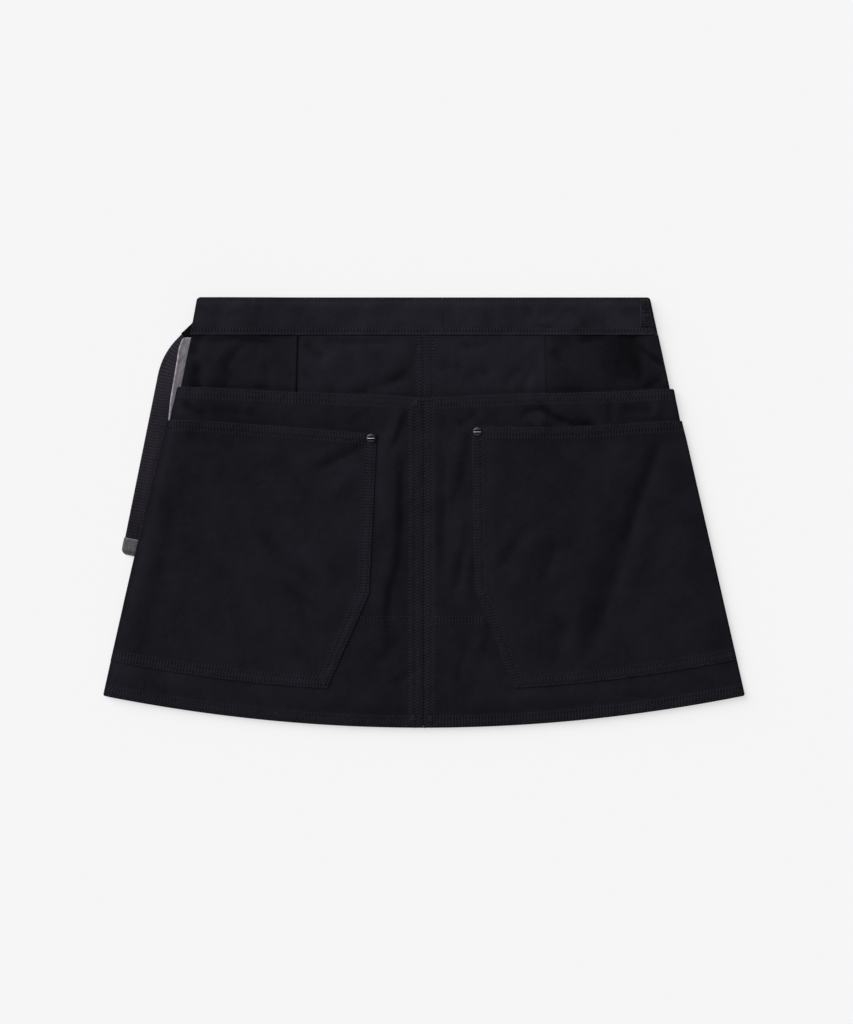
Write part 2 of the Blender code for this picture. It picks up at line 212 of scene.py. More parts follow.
STRAP_ROOT = (-169.7, 17.6)
STRAP_ROOT_ANGLE = math.radians(43.9)
STRAP_ROOT_RUN = 35.3
STRAP_BEND_RADIUS = 46.0
STRAP_HANG_ANGLE = math.radians(11.4)
STRAP_HANG_RUN = 136.5
STRAP_WIDE = 25.0
TIP_LONG = 13.6
STRAP_ROOM = 2.5
STRAP_ROOM_RAMP = 28.0


def strap_station(run):
    """Place and heading of the strap's middle line at a run from its root: straight, bend, straight."""
    x, drop = STRAP_ROOT
    angle = STRAP_ROOT_ANGLE
    straight = min(run, STRAP_ROOT_RUN)
    x -= straight * math.sin(angle)
    drop += straight * math.cos(angle)
    turned = min(run - straight, STRAP_BEND_RADIUS * (STRAP_ROOT_ANGLE - STRAP_HANG_ANGLE))
    end_angle = angle - turned / STRAP_BEND_RADIUS
    x -= STRAP_BEND_RADIUS * (math.cos(end_angle) - math.cos(angle))
    drop += STRAP_BEND_RADIUS * (math.sin(angle) - math.sin(end_angle))
    rest = run - straight - turned
    return x - rest * math.sin(end_angle), drop + rest * math.cos(end_angle), end_angle


STRAP_LONG = (
    STRAP_ROOT_RUN + STRAP_BEND_RADIUS * (STRAP_ROOT_ANGLE - STRAP_HANG_ANGLE) + STRAP_HANG_RUN
)
STRAP_LINE = [strap_station(STRAP_LONG * k / 14)[:2] for k in range(15)]
STRAP_LINE.append(strap_station(STRAP_LONG + TIP_LONG)[:2])


def distance_to_line(x, drop, x1, drop1, x2, drop2):
    run_x, run_drop = x2 - x1, drop2 - drop1
    share = ((x - x1) * run_x + (drop - drop1) * run_drop) / (run_x**2 + run_drop**2)
    share = np.clip(share, 0.0, 1.0)
    return np.hypot(x - x1 - share * run_x, drop - drop1 - share * run_drop)


def strap_room(x, drop, ramp=STRAP_ROOM_RAMP):
    """How far the cloth is lifted where it lies over the strap. Upper layers bridge it more widely."""
    legs = zip(STRAP_LINE, STRAP_LINE[1:])
    away = np.min([distance_to_line(x, drop, *start, *end) for start, end in legs], axis=0)
    return STRAP_ROOM * (1 - smooth((away - STRAP_WIDE / 2 - 3.0) / ramp))


print("strap, without its end:", round(STRAP_LONG, 1), "mm")

# %% [markdown]
# ## Creases
#
# Real creases start from nothing, grow and die out, wind a little, and have one side steeper than
# the other. A row of these tables gives a crease's height (below zero for a trough), how wide each
# side is, and the places it runs through on the photograph. Small random wander over everything
# keeps the cloth between them from looking like plastic.

# %% Crease tables
# height, width on the left of a run that goes down the picture, width on its right, then pixels
YOKE_CREASES = (
    (-2.8, 20.0, 8.0, (622, 324), (634, 350), (637, 392)),
    (-0.8, 5.0, 4.0, (612, 336), (574, 341)),
    (-1.1, 3.0, 3.4, (634, 343), (648, 353), (668, 368)),
    (-0.8, 3.0, 4.0, (640, 388), (666, 378)),
    (-0.6, 6.0, 6.0, (552, 346), (562, 366)),
    (-1.0, 5.0, 5.0, (200, 330), (194, 348), (197, 360)),
    (-1.9, 5.0, 6.0, (197, 356), (195, 400)),
    (-0.7, 3.5, 3.0, (192, 340), (236, 338), (284, 342)),
    (0.6, 6.0, 7.0, (226, 342), (208, 390)),
    (-0.9, 4.5, 5.0, (250, 338), (234, 352), (217, 376)),
    (0.4, 8.0, 8.0, (272, 342), (256, 388)),
    (-0.8, 6.0, 6.0, (266, 358), (262, 396)),
    (-0.5, 5.0, 4.0, (232, 366), (222, 392)),
    (0.7, 9.0, 9.0, (322, 374), (346, 350)),
    (0.5, 6.0, 12.0, (350, 374), (384, 368), (414, 352)),
    (-1.0, 4.5, 5.0, (342, 396), (384, 384), (424, 368)),
    (-0.6, 4.0, 4.0, (388, 384), (404, 371), (416, 360)),
    (-0.5, 5.0, 5.0, (386, 372), (376, 348)),
    (-0.9, 5.0, 5.0, (302, 342), (312, 350), (326, 360)),
    (-0.6, 3.0, 3.0, (318, 340), (352, 342), (404, 341)),
    (-0.6, 4.5, 5.0, (301, 366), (318, 388)),
    (-0.7, 4.0, 4.5, (436, 370), (446, 366), (466, 366)),
    (-0.55, 4.5, 4.5, (462, 380), (478, 372), (496, 372)),
    (-0.5, 3.0, 3.0, (462, 347), (486, 344)),
    (-0.65, 4.5, 4.5, (524, 362), (500, 388)),
    (-0.6, 6.0, 5.0, (530, 366), (520, 398)),
    (0.6, 5.0, 6.0, (540, 366), (532, 392)),
    (0.5, 8.0, 9.0, (494, 338), (478, 372)),
    (-0.4, 4.0, 6.0, (470, 338), (452, 360)),
    (0.4, 9.0, 8.0, (580, 345), (572, 390)),
)
APRON_CREASES = (
    (1.7, 11.0, 3.4, (397, 430), (395.5, 462), (394.8, 500), (394.5, 540), (391, 566), (384, 588),
     (380, 640)),
    (-0.35, 3.0, 4.0, (401, 446), (400, 500), (399.5, 540)),
    (-0.4, 4.0, 4.5, (399, 500), (398, 540), (395, 585)),
    (0.8, 9.0, 3.8, (388, 560), (383, 590), (380.5, 640), (380, 668)),
    (-0.4, 4.0, 4.5, (388.5, 568), (386.5, 600), (385, 640)),
    (0.9, 12.0, 6.0, (463, 420), (459, 456), (450, 500), (439, 524)),
    (-0.9, 4.5, 5.0, (474, 416), (466, 450), (459, 482), (445, 524)),
    (-0.9, 5.0, 4.5, (444, 430), (443, 500), (441, 590)),
    (1.0, 8.0, 3.6, (466, 500), (458, 545), (446, 600)),
    (-0.5, 5.0, 5.0, (468, 540), (456, 574), (447, 606)),
    (0.7, 6.0, 3.0, (469, 540), (466, 612)),
    (0.9, 6.0, 4.0, (488, 610), (474, 662)),
    (-0.5, 5.0, 5.0, (466, 636), (454, 694)),
    (-0.6, 5.0, 4.0, (424, 662), (390, 688)),
    (-0.5, 5.0, 5.0, (402, 628), (376, 668)),
    (0.5, 6.0, 4.0, (378, 655), (398, 702)),
    (0.5, 7.0, 7.0, (436, 650), (428, 700)),
    (1.0, 30.0, 26.0, (530, 400), (528, 470), (520, 560)),
    (-1.8, 7.0, 6.0, (664, 426), (641, 490), (620, 555)),
    (-2.2, 12.0, 9.0, (636, 505), (604, 600), (576, 676)),
    (0.6, 12.0, 9.0, (676, 432), (652, 510), (620, 610)),
    (0.6, 9.0, 9.0, (636, 420), (612, 480), (590, 550)),
    (-0.9, 5.0, 6.0, (560, 534), (536, 590)),
    (0.7, 7.0, 6.0, (545, 524), (508, 600)),
    (-1.0, 5.0, 6.0, (532, 518), (492, 578)),
    (-0.9, 8.0, 8.0, (570, 612), (548, 676)),
    (0.5, 9.0, 8.0, (588, 600), (566, 660)),
    (0.5, 14.0, 9.0, (702, 520), (642, 668)),
    (0.4, 5.0, 5.0, (360, 440), (338, 450), (302, 462)),
    (-0.9, 4.5, 4.5, (386, 436), (362, 446), (340, 456), (310, 474)),
    (0.6, 7.0, 7.0, (368, 462), (352, 478), (330, 490)),
    (-0.6, 7.0, 9.0, (280, 436), (292, 470), (312, 500), (340, 512)),
    (0.6, 8.0, 8.0, (262, 442), (276, 480), (300, 516)),
    (-0.85, 7.0, 8.0, (244, 516), (291, 563), (334, 600)),
    (-0.65, 6.0, 6.0, (276, 580), (330, 618)),
    (0.9, 8.0, 9.0, (280, 506), (310, 545), (340, 586)),
    (0.5, 9.0, 9.0, (250, 560), (300, 622)),
    (-0.5, 6.0, 7.0, (292, 648), (326, 676)),
    (0.4, 14.0, 12.0, (232, 470), (204, 640)),
    (-0.4, 9.0, 9.0, (176, 470), (158, 600)),
)
MOUTH_CREASES = (
    (1.6, 7.0, 2.4, (404, 402), (397, 425), (387, 450)),
    (-1.2, 4.0, 4.0, (516, 424), (528, 411), (543, 408), (558, 418), (566, 428)),
    (-1.5, 4.0, 4.0, (550, 414), (574, 423), (602, 424)),
    (1.6, 6.0, 6.0, (536, 430), (547, 414)),
    (-0.7, 4.0, 4.0, (611, 396), (608, 428)),
    (-1.1, 6.0, 6.0, (616, 408), (636, 409), (658, 408)),
    (-1.3, 5.0, 5.0, (178, 400), (192, 408), (212, 418)),
    (-0.9, 5.0, 5.0, (204, 409), (232, 411), (262, 414)),
    (0.5, 5.0, 5.0, (250, 398), (244, 424)),
    (-0.4, 4.0, 4.0, (376, 406), (343, 426)),
    (-0.3, 3.0, 3.0, (300, 416), (340, 430)),
    (-0.8, 4.0, 4.0, (480, 410), (454, 428)),
    (0.5, 4.0, 4.0, (660, 392), (655, 420)),
)
WAISTBAND_CREASES = (
    (-0.5, 6.0, 8.0, (566, 299), (580, 316), (594, 334)),
    (0.5, 3.0, 3.5, (540, 324), (558, 317)),
    (-0.3, 1.6, 1.8, (532, 325), (556, 327)),
    (0.4, 7.0, 7.0, (238, 299), (222, 333)),
    (-0.4, 6.0, 6.0, (264, 299), (246, 333)),
    (0.3, 9.0, 9.0, (330, 300), (322, 333)),
    (-0.3, 9.0, 7.0, (392, 300), (400, 333)),
    (0.3, 9.0, 9.0, (488, 300), (480, 333)),
    (-0.3, 7.0, 9.0, (506, 300), (512, 333)),
    (0.35, 7.0, 7.0, (620, 300), (630, 333)),
)


def crease_height(crease, x, drop):
    """One crease: a soft hump or trough along its run, dying out at both ends."""
    height, left, right, *spots = crease
    line = [(float(x_of(px)), float(drop_of(py))) for px, py in spots]
    lengths = [math.dist(*pair) for pair in zip(line, line[1:])]
    nearest = np.full(np.broadcast(x, drop).shape, 1e9)
    away, run = np.zeros_like(nearest), np.zeros_like(nearest)
    for k, ((x1, drop1), (x2, drop2)) in enumerate(zip(line, line[1:])):
        ahead_x, ahead_drop = (x2 - x1) / lengths[k], (drop2 - drop1) / lengths[k]
        on = (x - x1) * ahead_x + (drop - drop1) * ahead_drop
        off = (drop - drop1) * ahead_x - (x - x1) * ahead_drop
        past = np.maximum(0, np.maximum(-on, on - lengths[k]))
        closer = np.hypot(off, past) < nearest
        nearest = np.where(closer, np.hypot(off, past), nearest)
        away = np.where(closer, off, away)
        run = np.where(closer, sum(lengths[:k]) + on, run)
    share = run / sum(lengths)
    fade = smooth(np.minimum(share, 1 - share) / 0.3)
    return height * fade * np.exp(-((away / np.where(away > 0, left, right)) ** 2))


def creases(table, x, drop):
    """The height that a table of creases adds at each place."""
    return sum(crease_height(crease, x, drop) for crease in table)


def wander(x, drop, size, seed):
    """Smooth random hills between -1 and 1, one about every size millimetres."""
    hills = np.random.default_rng(seed).uniform(-1, 1, (128, 128))
    u, v = np.asarray(x) / size + 500, np.asarray(drop) / size + 500
    i, j = np.floor(u).astype(int), np.floor(v).astype(int)
    a, b = smooth(u - i), smooth(v - j)
    i, j, i2, j2 = i % 128, j % 128, (i + 1) % 128, (j + 1) % 128
    upper = hills[i, j] * (1 - a) + hills[i2, j] * a
    lower = hills[i, j2] * (1 - a) + hills[i2, j2] * a
    return upper * (1 - b) + lower * b


def rumple(x, drop):
    """The unevenness that the layers share."""
    slanted = x + 0.35 * drop
    return (
        0.3 * wander(slanted, drop, 36, 1)
        + 0.24 * wander(slanted, drop, 16, 2)
        + 0.13 * wander(x - 0.4 * drop, drop, 8, 3)
    )


print(len(YOKE_CREASES) + len(APRON_CREASES) + len(MOUTH_CREASES) + len(WAISTBAND_CREASES), "creases")

# %% [markdown]
# Each layer's underside is the layer below it, plus a gap, plus what the layer does of its own.
# Sides and hem are sewn down flat, so every puff and crease of the apron fades out there.

# %% Undersides
APRON_TOP = (
    (-203.0, 73.4), (-183.0, 74.0), (-150.0, 75.7), (-118.0, 77.5), (-81.0, 78.9), (-36.0, 80.7),
    (0.0, 83.0), (83.0, 79.3), (124.0, 78.5), (161.0, 77.4), (190.0, 75.8), (203.0, 75.2),
)
POCKET_TOP_LEFT = ((-212.0, 101.0), (-190.0, 101.0), (-118.0, 106.0), (-37.0, 112.3))
POCKET_TOP_RIGHT = (
    (39.0, 106.4), (66.0, 106.6), (105.0, 106.9), (120.0, 106.6), (144.0, 105.4), (171.0, 103.7),
    (194.0, 102.1), (212.0, 101.4),
)
# a dart runs from its first x at the waistband to its second x under the apron
DARTS = (
    {"from": -102.7, "to": -104.0, "deep": 0.95, "wide": 0.6},
    {"from": 100.5, "to": 101.5, "deep": 0.2, "wide": 0.9},
)
DART_END_DROP = 78.0


def left_of_dart(dart, x, drop):
    """How far a place lies to the left of a dart's stitched line."""
    share = (drop - WAISTBAND_DEEP) / (DART_END_DROP - WAISTBAND_DEEP)
    return dart["from"] + share * (dart["to"] - dart["from"]) - x


def yoke_form(x, drop):
    """The yoke swells below the waistband, and a little more on the left of each dart."""
    swell = 1.7 * smooth((drop - 33) / 16) + creases(YOKE_CREASES, x, drop)
    for dart in DARTS:
        open_part = 1 - smooth((drop - 86) / 10)
        swell += open_part * 0.3 * np.exp(-(((left_of_dart(dart, x, drop) - 2.0) / 2.0) ** 2))
    return swell


def ditch(drop, edge_drop, deep, wide=4.0):
    """The cloth sinks just above an edge that lies over it."""
    above = edge_drop - 1.0 - drop
    return -deep * np.exp(-((above / np.where(above > 0, wide, 1.5)) ** 2))


def body_under(x, drop):
    rise = 1.3 * (1 - smooth((drop - WAISTBAND_DEEP) / 18))
    shape = np.maximum(-0.1, rise + yoke_form(x, drop) + ditch(drop, along(APRON_TOP, x), 0.6))
    shape = shape * (1 - smooth((drop - 85) / 20))
    return CANVAS + LAYER_GAP + strap_room(x, drop, 45) + shape + 0.4 * rumple(x, drop)


def apron_under(x, drop):
    side = side_at(APRON_SIDE, x, drop) - abs(x)
    fade = smooth(side / 22) * smooth((hem_drop(x) - drop) / 22) * (0.75 + 0.25 * smooth(abs(x) / 30))
    shape = fade * np.maximum(0.0, 2.2 + creases(APRON_CREASES, x, drop))
    swell = np.maximum(0.0, yoke_form(x, drop)) + 0.25
    shape += swell * (1 - smooth((drop - 88) / 24))
    below = 2 * (CANVAS + LAYER_GAP)
    settled = smooth(side / 8) * smooth((hem_drop(x) - drop) / 8)
    left_roll = -1.1 * (1 - smooth(side / 9)) * (x < 0)
    return below + strap_room(x, drop, 70) + shape + left_roll + rumple(x, drop) * (0.4 + 0.6 * settled)


def pocket_under(x, drop, top):
    below_mouth = drop - along(top, x)
    from_ends = np.minimum(abs(x) - 39.0, side_at(POCKET_SIDE, x, drop) - abs(x))
    gape = 0.9 * smooth(1 - below_mouth / 16) * smooth(from_ends / 60)
    return apron_under(x, drop) + APRON_CLOTH + POCKET_GAP + gape


apron_puff = float(apron_under(130.0, 200.0)) - 2 * (CANVAS + LAYER_GAP)
print("the apron's right half puffs up in its middle by", round(apron_puff, 2), "mm")

# %% [markdown]
# ## Finishes
#
# Black cotton is never one flat black. The dye is a little uneven, loose fibres stand off the
# surface, and edges that rub lose colour. One node group gives every cloth its weave and its
# fibres, and each finish adds its own colours.

# %% Node helpers
def new_group(name, inputs, outputs):
    """An empty shader group with named sockets, and its two end nodes."""
    group = bpy.data.node_groups.new(name, "ShaderNodeTree")
    for label, kind, value in inputs:
        socket = group.interface.new_socket(label, in_out="INPUT", socket_type=kind)
        if value is not None:
            socket.default_value = value
    for label, kind in outputs:
        group.interface.new_socket(label, in_out="OUTPUT", socket_type=kind)
    return group, group.nodes.new("NodeGroupInput"), group.nodes.new("NodeGroupOutput")


def node(tree, kind, links=(), **values):
    """A node with its properties set and its inputs linked. A link is (input, output socket)."""
    made = tree.nodes.new(kind)
    for key_name, value in values.items():
        setattr(made, key_name, value)
    for socket, source in links:
        if hasattr(source, "links"):
            tree.links.new(source, made.inputs[socket])
        else:
            made.inputs[socket].default_value = source
    return made


def arithmetic(tree, operation, *inputs):
    """The result of a Math node. Each input is a number or an output of another node."""
    return node(tree, "ShaderNodeMath", enumerate(inputs), operation=operation).outputs[0]


FLOAT, COLOR, VECTOR = "NodeSocketFloat", "NodeSocketColor", "NodeSocketVector"

# %% [markdown]
# The weave group crosses two fine waves for the warp and the weft, and adds a slanted one for twill.
# Fibres roughen it, and a broader noise stands for the rumples that are too small for the mesh. Each
# has its own depth in millimetres, so one bump a millimetre high serves them all.

# %% Weave group
RUMPLE_SCALE = 115.0

weave, weave_in, weave_out = new_group(
    "Weave",
    [("Vector", VECTOR, None), ("Pitch", FLOAT, 350.0), ("Twill", FLOAT, 0.5),
     ("Fibre Size", FLOAT, 1500.0), ("Weave Depth", FLOAT, 0.08), ("Rumple Depth", FLOAT, 0.5)],
    [("Height", FLOAT), ("Fibre", FLOAT)],
)
at, pitch, fibre_size = (weave_in.outputs[label] for label in ("Vector", "Pitch", "Fibre Size"))
wave_look = [("Vector", at), ("Scale", pitch), ("Distortion", 1.5), ("Detail Scale", 1.0)]
warp = node(weave, "ShaderNodeTexWave", wave_look, bands_direction="X")
weft = node(weave, "ShaderNodeTexWave", wave_look, bands_direction="Y")
slant = node(weave, "ShaderNodeTexWave", wave_look, bands_direction="DIAGONAL")
plain = arithmetic(weave, "MULTIPLY", warp.outputs["Fac"], weft.outputs["Fac"])
woven = node(weave, "ShaderNodeMix", [
    ("Factor", weave_in.outputs["Twill"]), (2, plain), (3, slant.outputs["Fac"]),
])
fibre = node(weave, "ShaderNodeTexNoise", [("Vector", at), ("Scale", fibre_size), ("Detail", 3.0)])
rough = arithmetic(weave, "ADD", woven.outputs[0], fibre.outputs["Fac"])
fine = arithmetic(weave, "MULTIPLY", rough, weave_in.outputs["Weave Depth"])
small_folds = node(weave, "ShaderNodeTexNoise", [
    ("Vector", at), ("Scale", RUMPLE_SCALE), ("Detail", 5.0), ("Distortion", 0.6),
]).outputs["Fac"]
height = arithmetic(weave, "MULTIPLY_ADD", small_folds, weave_in.outputs["Rumple Depth"], fine)
weave.links.new(height, weave_out.inputs["Height"])
weave.links.new(fibre.outputs["Fac"], weave_out.inputs["Fibre"])
print("group:", weave.name)

# %% [markdown]
# The shade group mixes the dye's unevenness, the fibres, the fade and the rubbed edges into one
# colour. Fade is mostly painted light and shade: painted shade in the folds and at turned edges,
# painted light on the ridges and sewn bands. Where ridges and edges are is written on each mesh as
# the attributes fade and wear, because only the mesh knows.

# %% Shade group
CLOUD_SCALE, SCUFF_SCALE = 42.0, 240.0
PAINTED_SHADING_STRENGTH = 0.22

shade, shade_in, shade_out = new_group(
    "Shade",
    [("Vector", VECTOR, None), ("Colour", COLOR, (0.01, 0.01, 0.01, 1)),
     ("Rubbed", COLOR, (0.02, 0.02, 0.02, 1)), ("Fibre", FLOAT, 0.5), ("Wear", FLOAT, 0.0),
     ("Fade", FLOAT, 0.0), ("Uneven", FLOAT, 0.25)],
    [("Colour", COLOR)],
)
spot = shade_in.outputs["Vector"]
clouds = node(shade, "ShaderNodeTexNoise", [
    ("Vector", spot), ("Scale", CLOUD_SCALE), ("Detail", 6.0), ("Roughness", 0.68),
])
both = arithmetic(shade, "MULTIPLY_ADD", shade_in.outputs["Fibre"], 0.5, clouds.outputs["Fac"])
centred = arithmetic(shade, "ADD", both, -0.75)
swing = arithmetic(shade, "MULTIPLY_ADD", centred, shade_in.outputs["Uneven"], 1.0)
# the fade input scales the dye up or down: painted light and shade
factor = arithmetic(shade, "MULTIPLY_ADD", shade_in.outputs["Fade"], PAINTED_SHADING_STRENGTH, swing)
dyed = node(shade, "ShaderNodeVectorMath", [(0, shade_in.outputs["Colour"])], operation="SCALE")
shade.links.new(factor, dyed.inputs["Scale"])
scuffs = node(shade, "ShaderNodeTexNoise", [("Vector", spot), ("Scale", SCUFF_SCALE), ("Detail", 3.0)])
rubbed = node(shade, "ShaderNodeMapRange", [
    ("Value", scuffs.outputs["Fac"]), ("From Min", 0.3), ("From Max", 0.7),
])
worn = arithmetic(shade, "MULTIPLY", rubbed.outputs[0], shade_in.outputs["Wear"])
mixed = node(shade, "ShaderNodeMix", [("Factor", worn)], data_type="RGBA")
shade.links.new(dyed.outputs[0], mixed.inputs[6])
shade.links.new(shade_in.outputs["Rubbed"], mixed.inputs[7])
shade.links.new(mixed.outputs[2], shade_out.inputs["Colour"])
print("group:", shade.name)

# %% [markdown]
# A cloth finish puts the two groups in front of a Principled shader. Cotton has no shine to speak
# of, so it is rough with a low specular level, and a little sheen stands for its loose fibres.

# %% Cloth finishes
def cloth_finish(name, colour, rubbed, pitch=420.0, twill=0.4, fibre_size=1500.0, uneven=1.0,
                 weave_depth=0.08, rumple_depth=0.65, roughness=0.9, sheen=0.015, specular=0.03,
                 turn=0.0, stretch=1.0):
    """A cloth whose weave is turned by an angle, and drawn out along its length by a stretch."""
    material = bpy.data.materials.new(name)
    material.use_nodes = True
    tree = material.node_tree
    shader = tree.nodes["Principled BSDF"]
    shader.inputs["Roughness"].default_value = roughness
    shader.inputs["Specular IOR Level"].default_value = specular
    shader.inputs["Sheen Weight"].default_value = sheen
    shader.inputs["Sheen Roughness"].default_value = 0.6
    places = node(tree, "ShaderNodeTexCoord")
    turned = node(tree, "ShaderNodeMapping", [
        ("Vector", places.outputs["Object"]), ("Rotation", (0, 0, turn)),
    ])
    drawn_out = node(tree, "ShaderNodeMapping", [
        ("Vector", turned.outputs["Vector"]), ("Scale", (1, 1 / stretch, 1)),
    ])
    wear = node(tree, "ShaderNodeAttribute", attribute_name="wear")
    fade = node(tree, "ShaderNodeAttribute", attribute_name="fade")
    cloth_weave = node(tree, "ShaderNodeGroup", [], node_tree=weave)
    cloth_shade = node(tree, "ShaderNodeGroup", [], node_tree=shade)
    for group_node, values in (
        (cloth_weave, {"Pitch": pitch, "Twill": twill, "Fibre Size": fibre_size,
                       "Weave Depth": weave_depth, "Rumple Depth": rumple_depth}),
        (cloth_shade, {"Colour": (*colour, 1), "Rubbed": (*rubbed, 1), "Uneven": uneven}),
    ):
        tree.links.new(drawn_out.outputs["Vector"], group_node.inputs["Vector"])
        for label, value in values.items():
            group_node.inputs[label].default_value = value
    tree.links.new(cloth_weave.outputs["Fibre"], cloth_shade.inputs["Fibre"])
    tree.links.new(wear.outputs["Fac"], cloth_shade.inputs["Wear"])
    tree.links.new(fade.outputs["Fac"], cloth_shade.inputs["Fade"])
    bumped = node(tree, "ShaderNodeBump", [("Strength", 1.0), ("Distance", 0.001),
                                           ("Height", cloth_weave.outputs["Height"])])
    tree.links.new(cloth_shade.outputs["Colour"], shader.inputs["Base Color"])
    tree.links.new(bumped.outputs["Normal"], shader.inputs["Normal"])
    return material


BLACK = np.array((0.0102, 0.0096, 0.0138))
RUBBED = (0.0125, 0.012, 0.0165)
RUBBED_POCKET = (0.0148, 0.014, 0.0195)
# one black at several brightnesses: partly dye that differs from piece to piece, partly painted light,
# brightest at the waistband and darkest on the right pocket, as the light falls off to the lower right
canvas_band = cloth_finish("canvas waistband", BLACK * 1.19, RUBBED, uneven=1.4, turn=math.radians(90))
canvas_body = cloth_finish("canvas body", BLACK * 0.98, RUBBED, turn=math.radians(4))
canvas_apron = cloth_finish("canvas apron", BLACK * 0.86, RUBBED)
canvas_left = cloth_finish("canvas pocket left", BLACK * 0.84, RUBBED_POCKET, turn=math.radians(-7))
canvas_right = cloth_finish("canvas pocket right", BLACK * 0.76, RUBBED_POCKET, turn=math.radians(7))
webbing = cloth_finish("webbing", (0.0122, 0.0109, 0.0148), (0.0285, 0.0255, 0.033), pitch=300.0,
                       twill=0.0, fibre_size=1200.0, uneven=1.8, weave_depth=0.03, rumple_depth=0.2,
                       turn=math.radians(11), stretch=5.0)
tab_webbing = cloth_finish("tab webbing", BLACK * 0.95, (0.02, 0.019, 0.023), pitch=300.0, twill=0.0,
                           fibre_size=900.0, uneven=1.6, weave_depth=0.2, rumple_depth=0.6)
# the facing's pale rubbed colour lies along its rolled outer edge: partly wear, partly a painted
# highlight on the roll
grey_twill = cloth_finish("grey facing", (0.145, 0.128, 0.147), (0.34, 0.31, 0.34), pitch=330.0,
                          twill=0.95, uneven=0.5, weave_depth=0.12, rumple_depth=0.2, roughness=0.6,
                          specular=0.3)
# near-black painted shadow: it fills the corner where the strap dives under the waistband, the needle
# holes and the rivets' slots
PAINTED_SHADOW_BLACK = (0.002, 0.002, 0.0025)
painted_shadow_finish = cloth_finish("black felt", PAINTED_SHADOW_BLACK, PAINTED_SHADOW_BLACK, twill=0.0, uneven=0.4)
leather = cloth_finish("grey leather", (0.066, 0.064, 0.076), (0.12, 0.12, 0.135), pitch=180.0,
                       twill=0.0, fibre_size=700.0, uneven=1.3, weave_depth=0.15, rumple_depth=0.4,
                       roughness=0.7, specular=0.3)
thread_look = {"pitch": 900.0, "twill": 1.0, "weave_depth": 0.05, "rumple_depth": 0.0,
               "roughness": 0.7, "specular": 0.08}
new_thread = cloth_finish("black thread", (0.0212, 0.02, 0.0275), (0.024, 0.023, 0.03), **thread_look)
dull_thread = cloth_finish("dull thread", (0.017, 0.0165, 0.02), (0.02, 0.02, 0.022), **thread_look)
print("finishes:", canvas_body.name, webbing.name, grey_twill.name, leather.name, new_thread.name)

# %% [markdown]
# ## Making cloth
#
# A cut piece is laid out as rows of places between its four edges, close together near the edges
# and wider in the middle. Its upper and lower skins meet in a rounded nose all round, as a turned
# or cut edge does, so the piece is one closed body with no hard rim.

# %% Laying out a cut piece
def stations(start, steps, end):
    """Base and share of each station, so that base + share * length is how far along it lies."""
    t = np.arange(1, steps) / steps
    base = [*start, *(start[-1] * (1 - t) - end[-1] * t), *(-inset for inset in reversed(end))]
    share = [*(0.0 for _ in start), *t, *(1.0 for _ in end)]
    return np.array(base), np.array(share)


def lay_out(edges, across, down, corners=(0.01, 0.01, 0.01, 0.01), blunt=(1, 1, 1, 1)):
    """Places that fill a piece between its left, right, top and bottom edges, with their inset.

    corners are the radii at top left, top right, bottom left and bottom right. blunt is how many
    times blunter than a round nose the left, right, top and bottom edges are.
    """
    left, right, top, bottom = edges
    base_a, share_a = stations(*across)
    base_b, share_b = stations(*down)
    x = np.zeros((len(base_b), len(base_a)))
    drop = np.full_like(x, (top(0.0) + bottom(0.0)) / 2)
    for _ in range(12):
        start, wide = left(drop), right(drop) - left(drop)
        head, deep = top(x), bottom(x) - top(x)
        a = base_a[None, :] + share_a[None, :] * wide
        b = base_b[:, None] + share_b[:, None] * deep
        on_right, at_bottom = a > wide / 2, b > deep / 2
        radius = np.array(corners)[on_right + 2 * at_bottom]
        side, end = np.where(on_right, wide - a, a), np.where(at_bottom, deep - b, b)
        inset = np.minimum(side, end)
        side_nose = side * np.where(on_right, blunt[1], blunt[0])
        end_nose = end * np.where(at_bottom, blunt[3], blunt[2])
        nose = np.minimum(side_nose, end_nose)
        s, t = np.clip(1 - side / radius, 0, 1), np.clip(1 - end / radius, 0, 1)
        near = (side < radius) & (end < radius)
        side = np.where(near, radius * (1 - s * np.sqrt(1 - t * t / 2)), side)
        end = np.where(near, radius * (1 - t * np.sqrt(1 - s * s / 2)), end)
        x = start + np.where(on_right, wide - side, side)
        drop = head + np.where(at_bottom, deep - end, end)
    return x, drop, inset, nose


def flat_area(x, drop):
    """Area of the laid-out piece in square metres."""
    dx1, dd1 = x[1:, 1:] - x[:-1, :-1], drop[1:, 1:] - drop[:-1, :-1]
    dx2, dd2 = x[1:, :-1] - x[:-1, 1:], drop[1:, :-1] - drop[:-1, 1:]
    return float(abs(dx1 * dd2 - dx2 * dd1).sum() / 2) * MM * MM


# %% [markdown]
# The mesh numbers each place of the upper skin, and the lower skin borrows the upper one's rim, so
# there is nothing left to weld. Wear fades in from the rim, and fade, which paints light and shade
# into the colour, follows the creases.

# %% Sewing a closed shell
pieces = {}
SIZES = {}


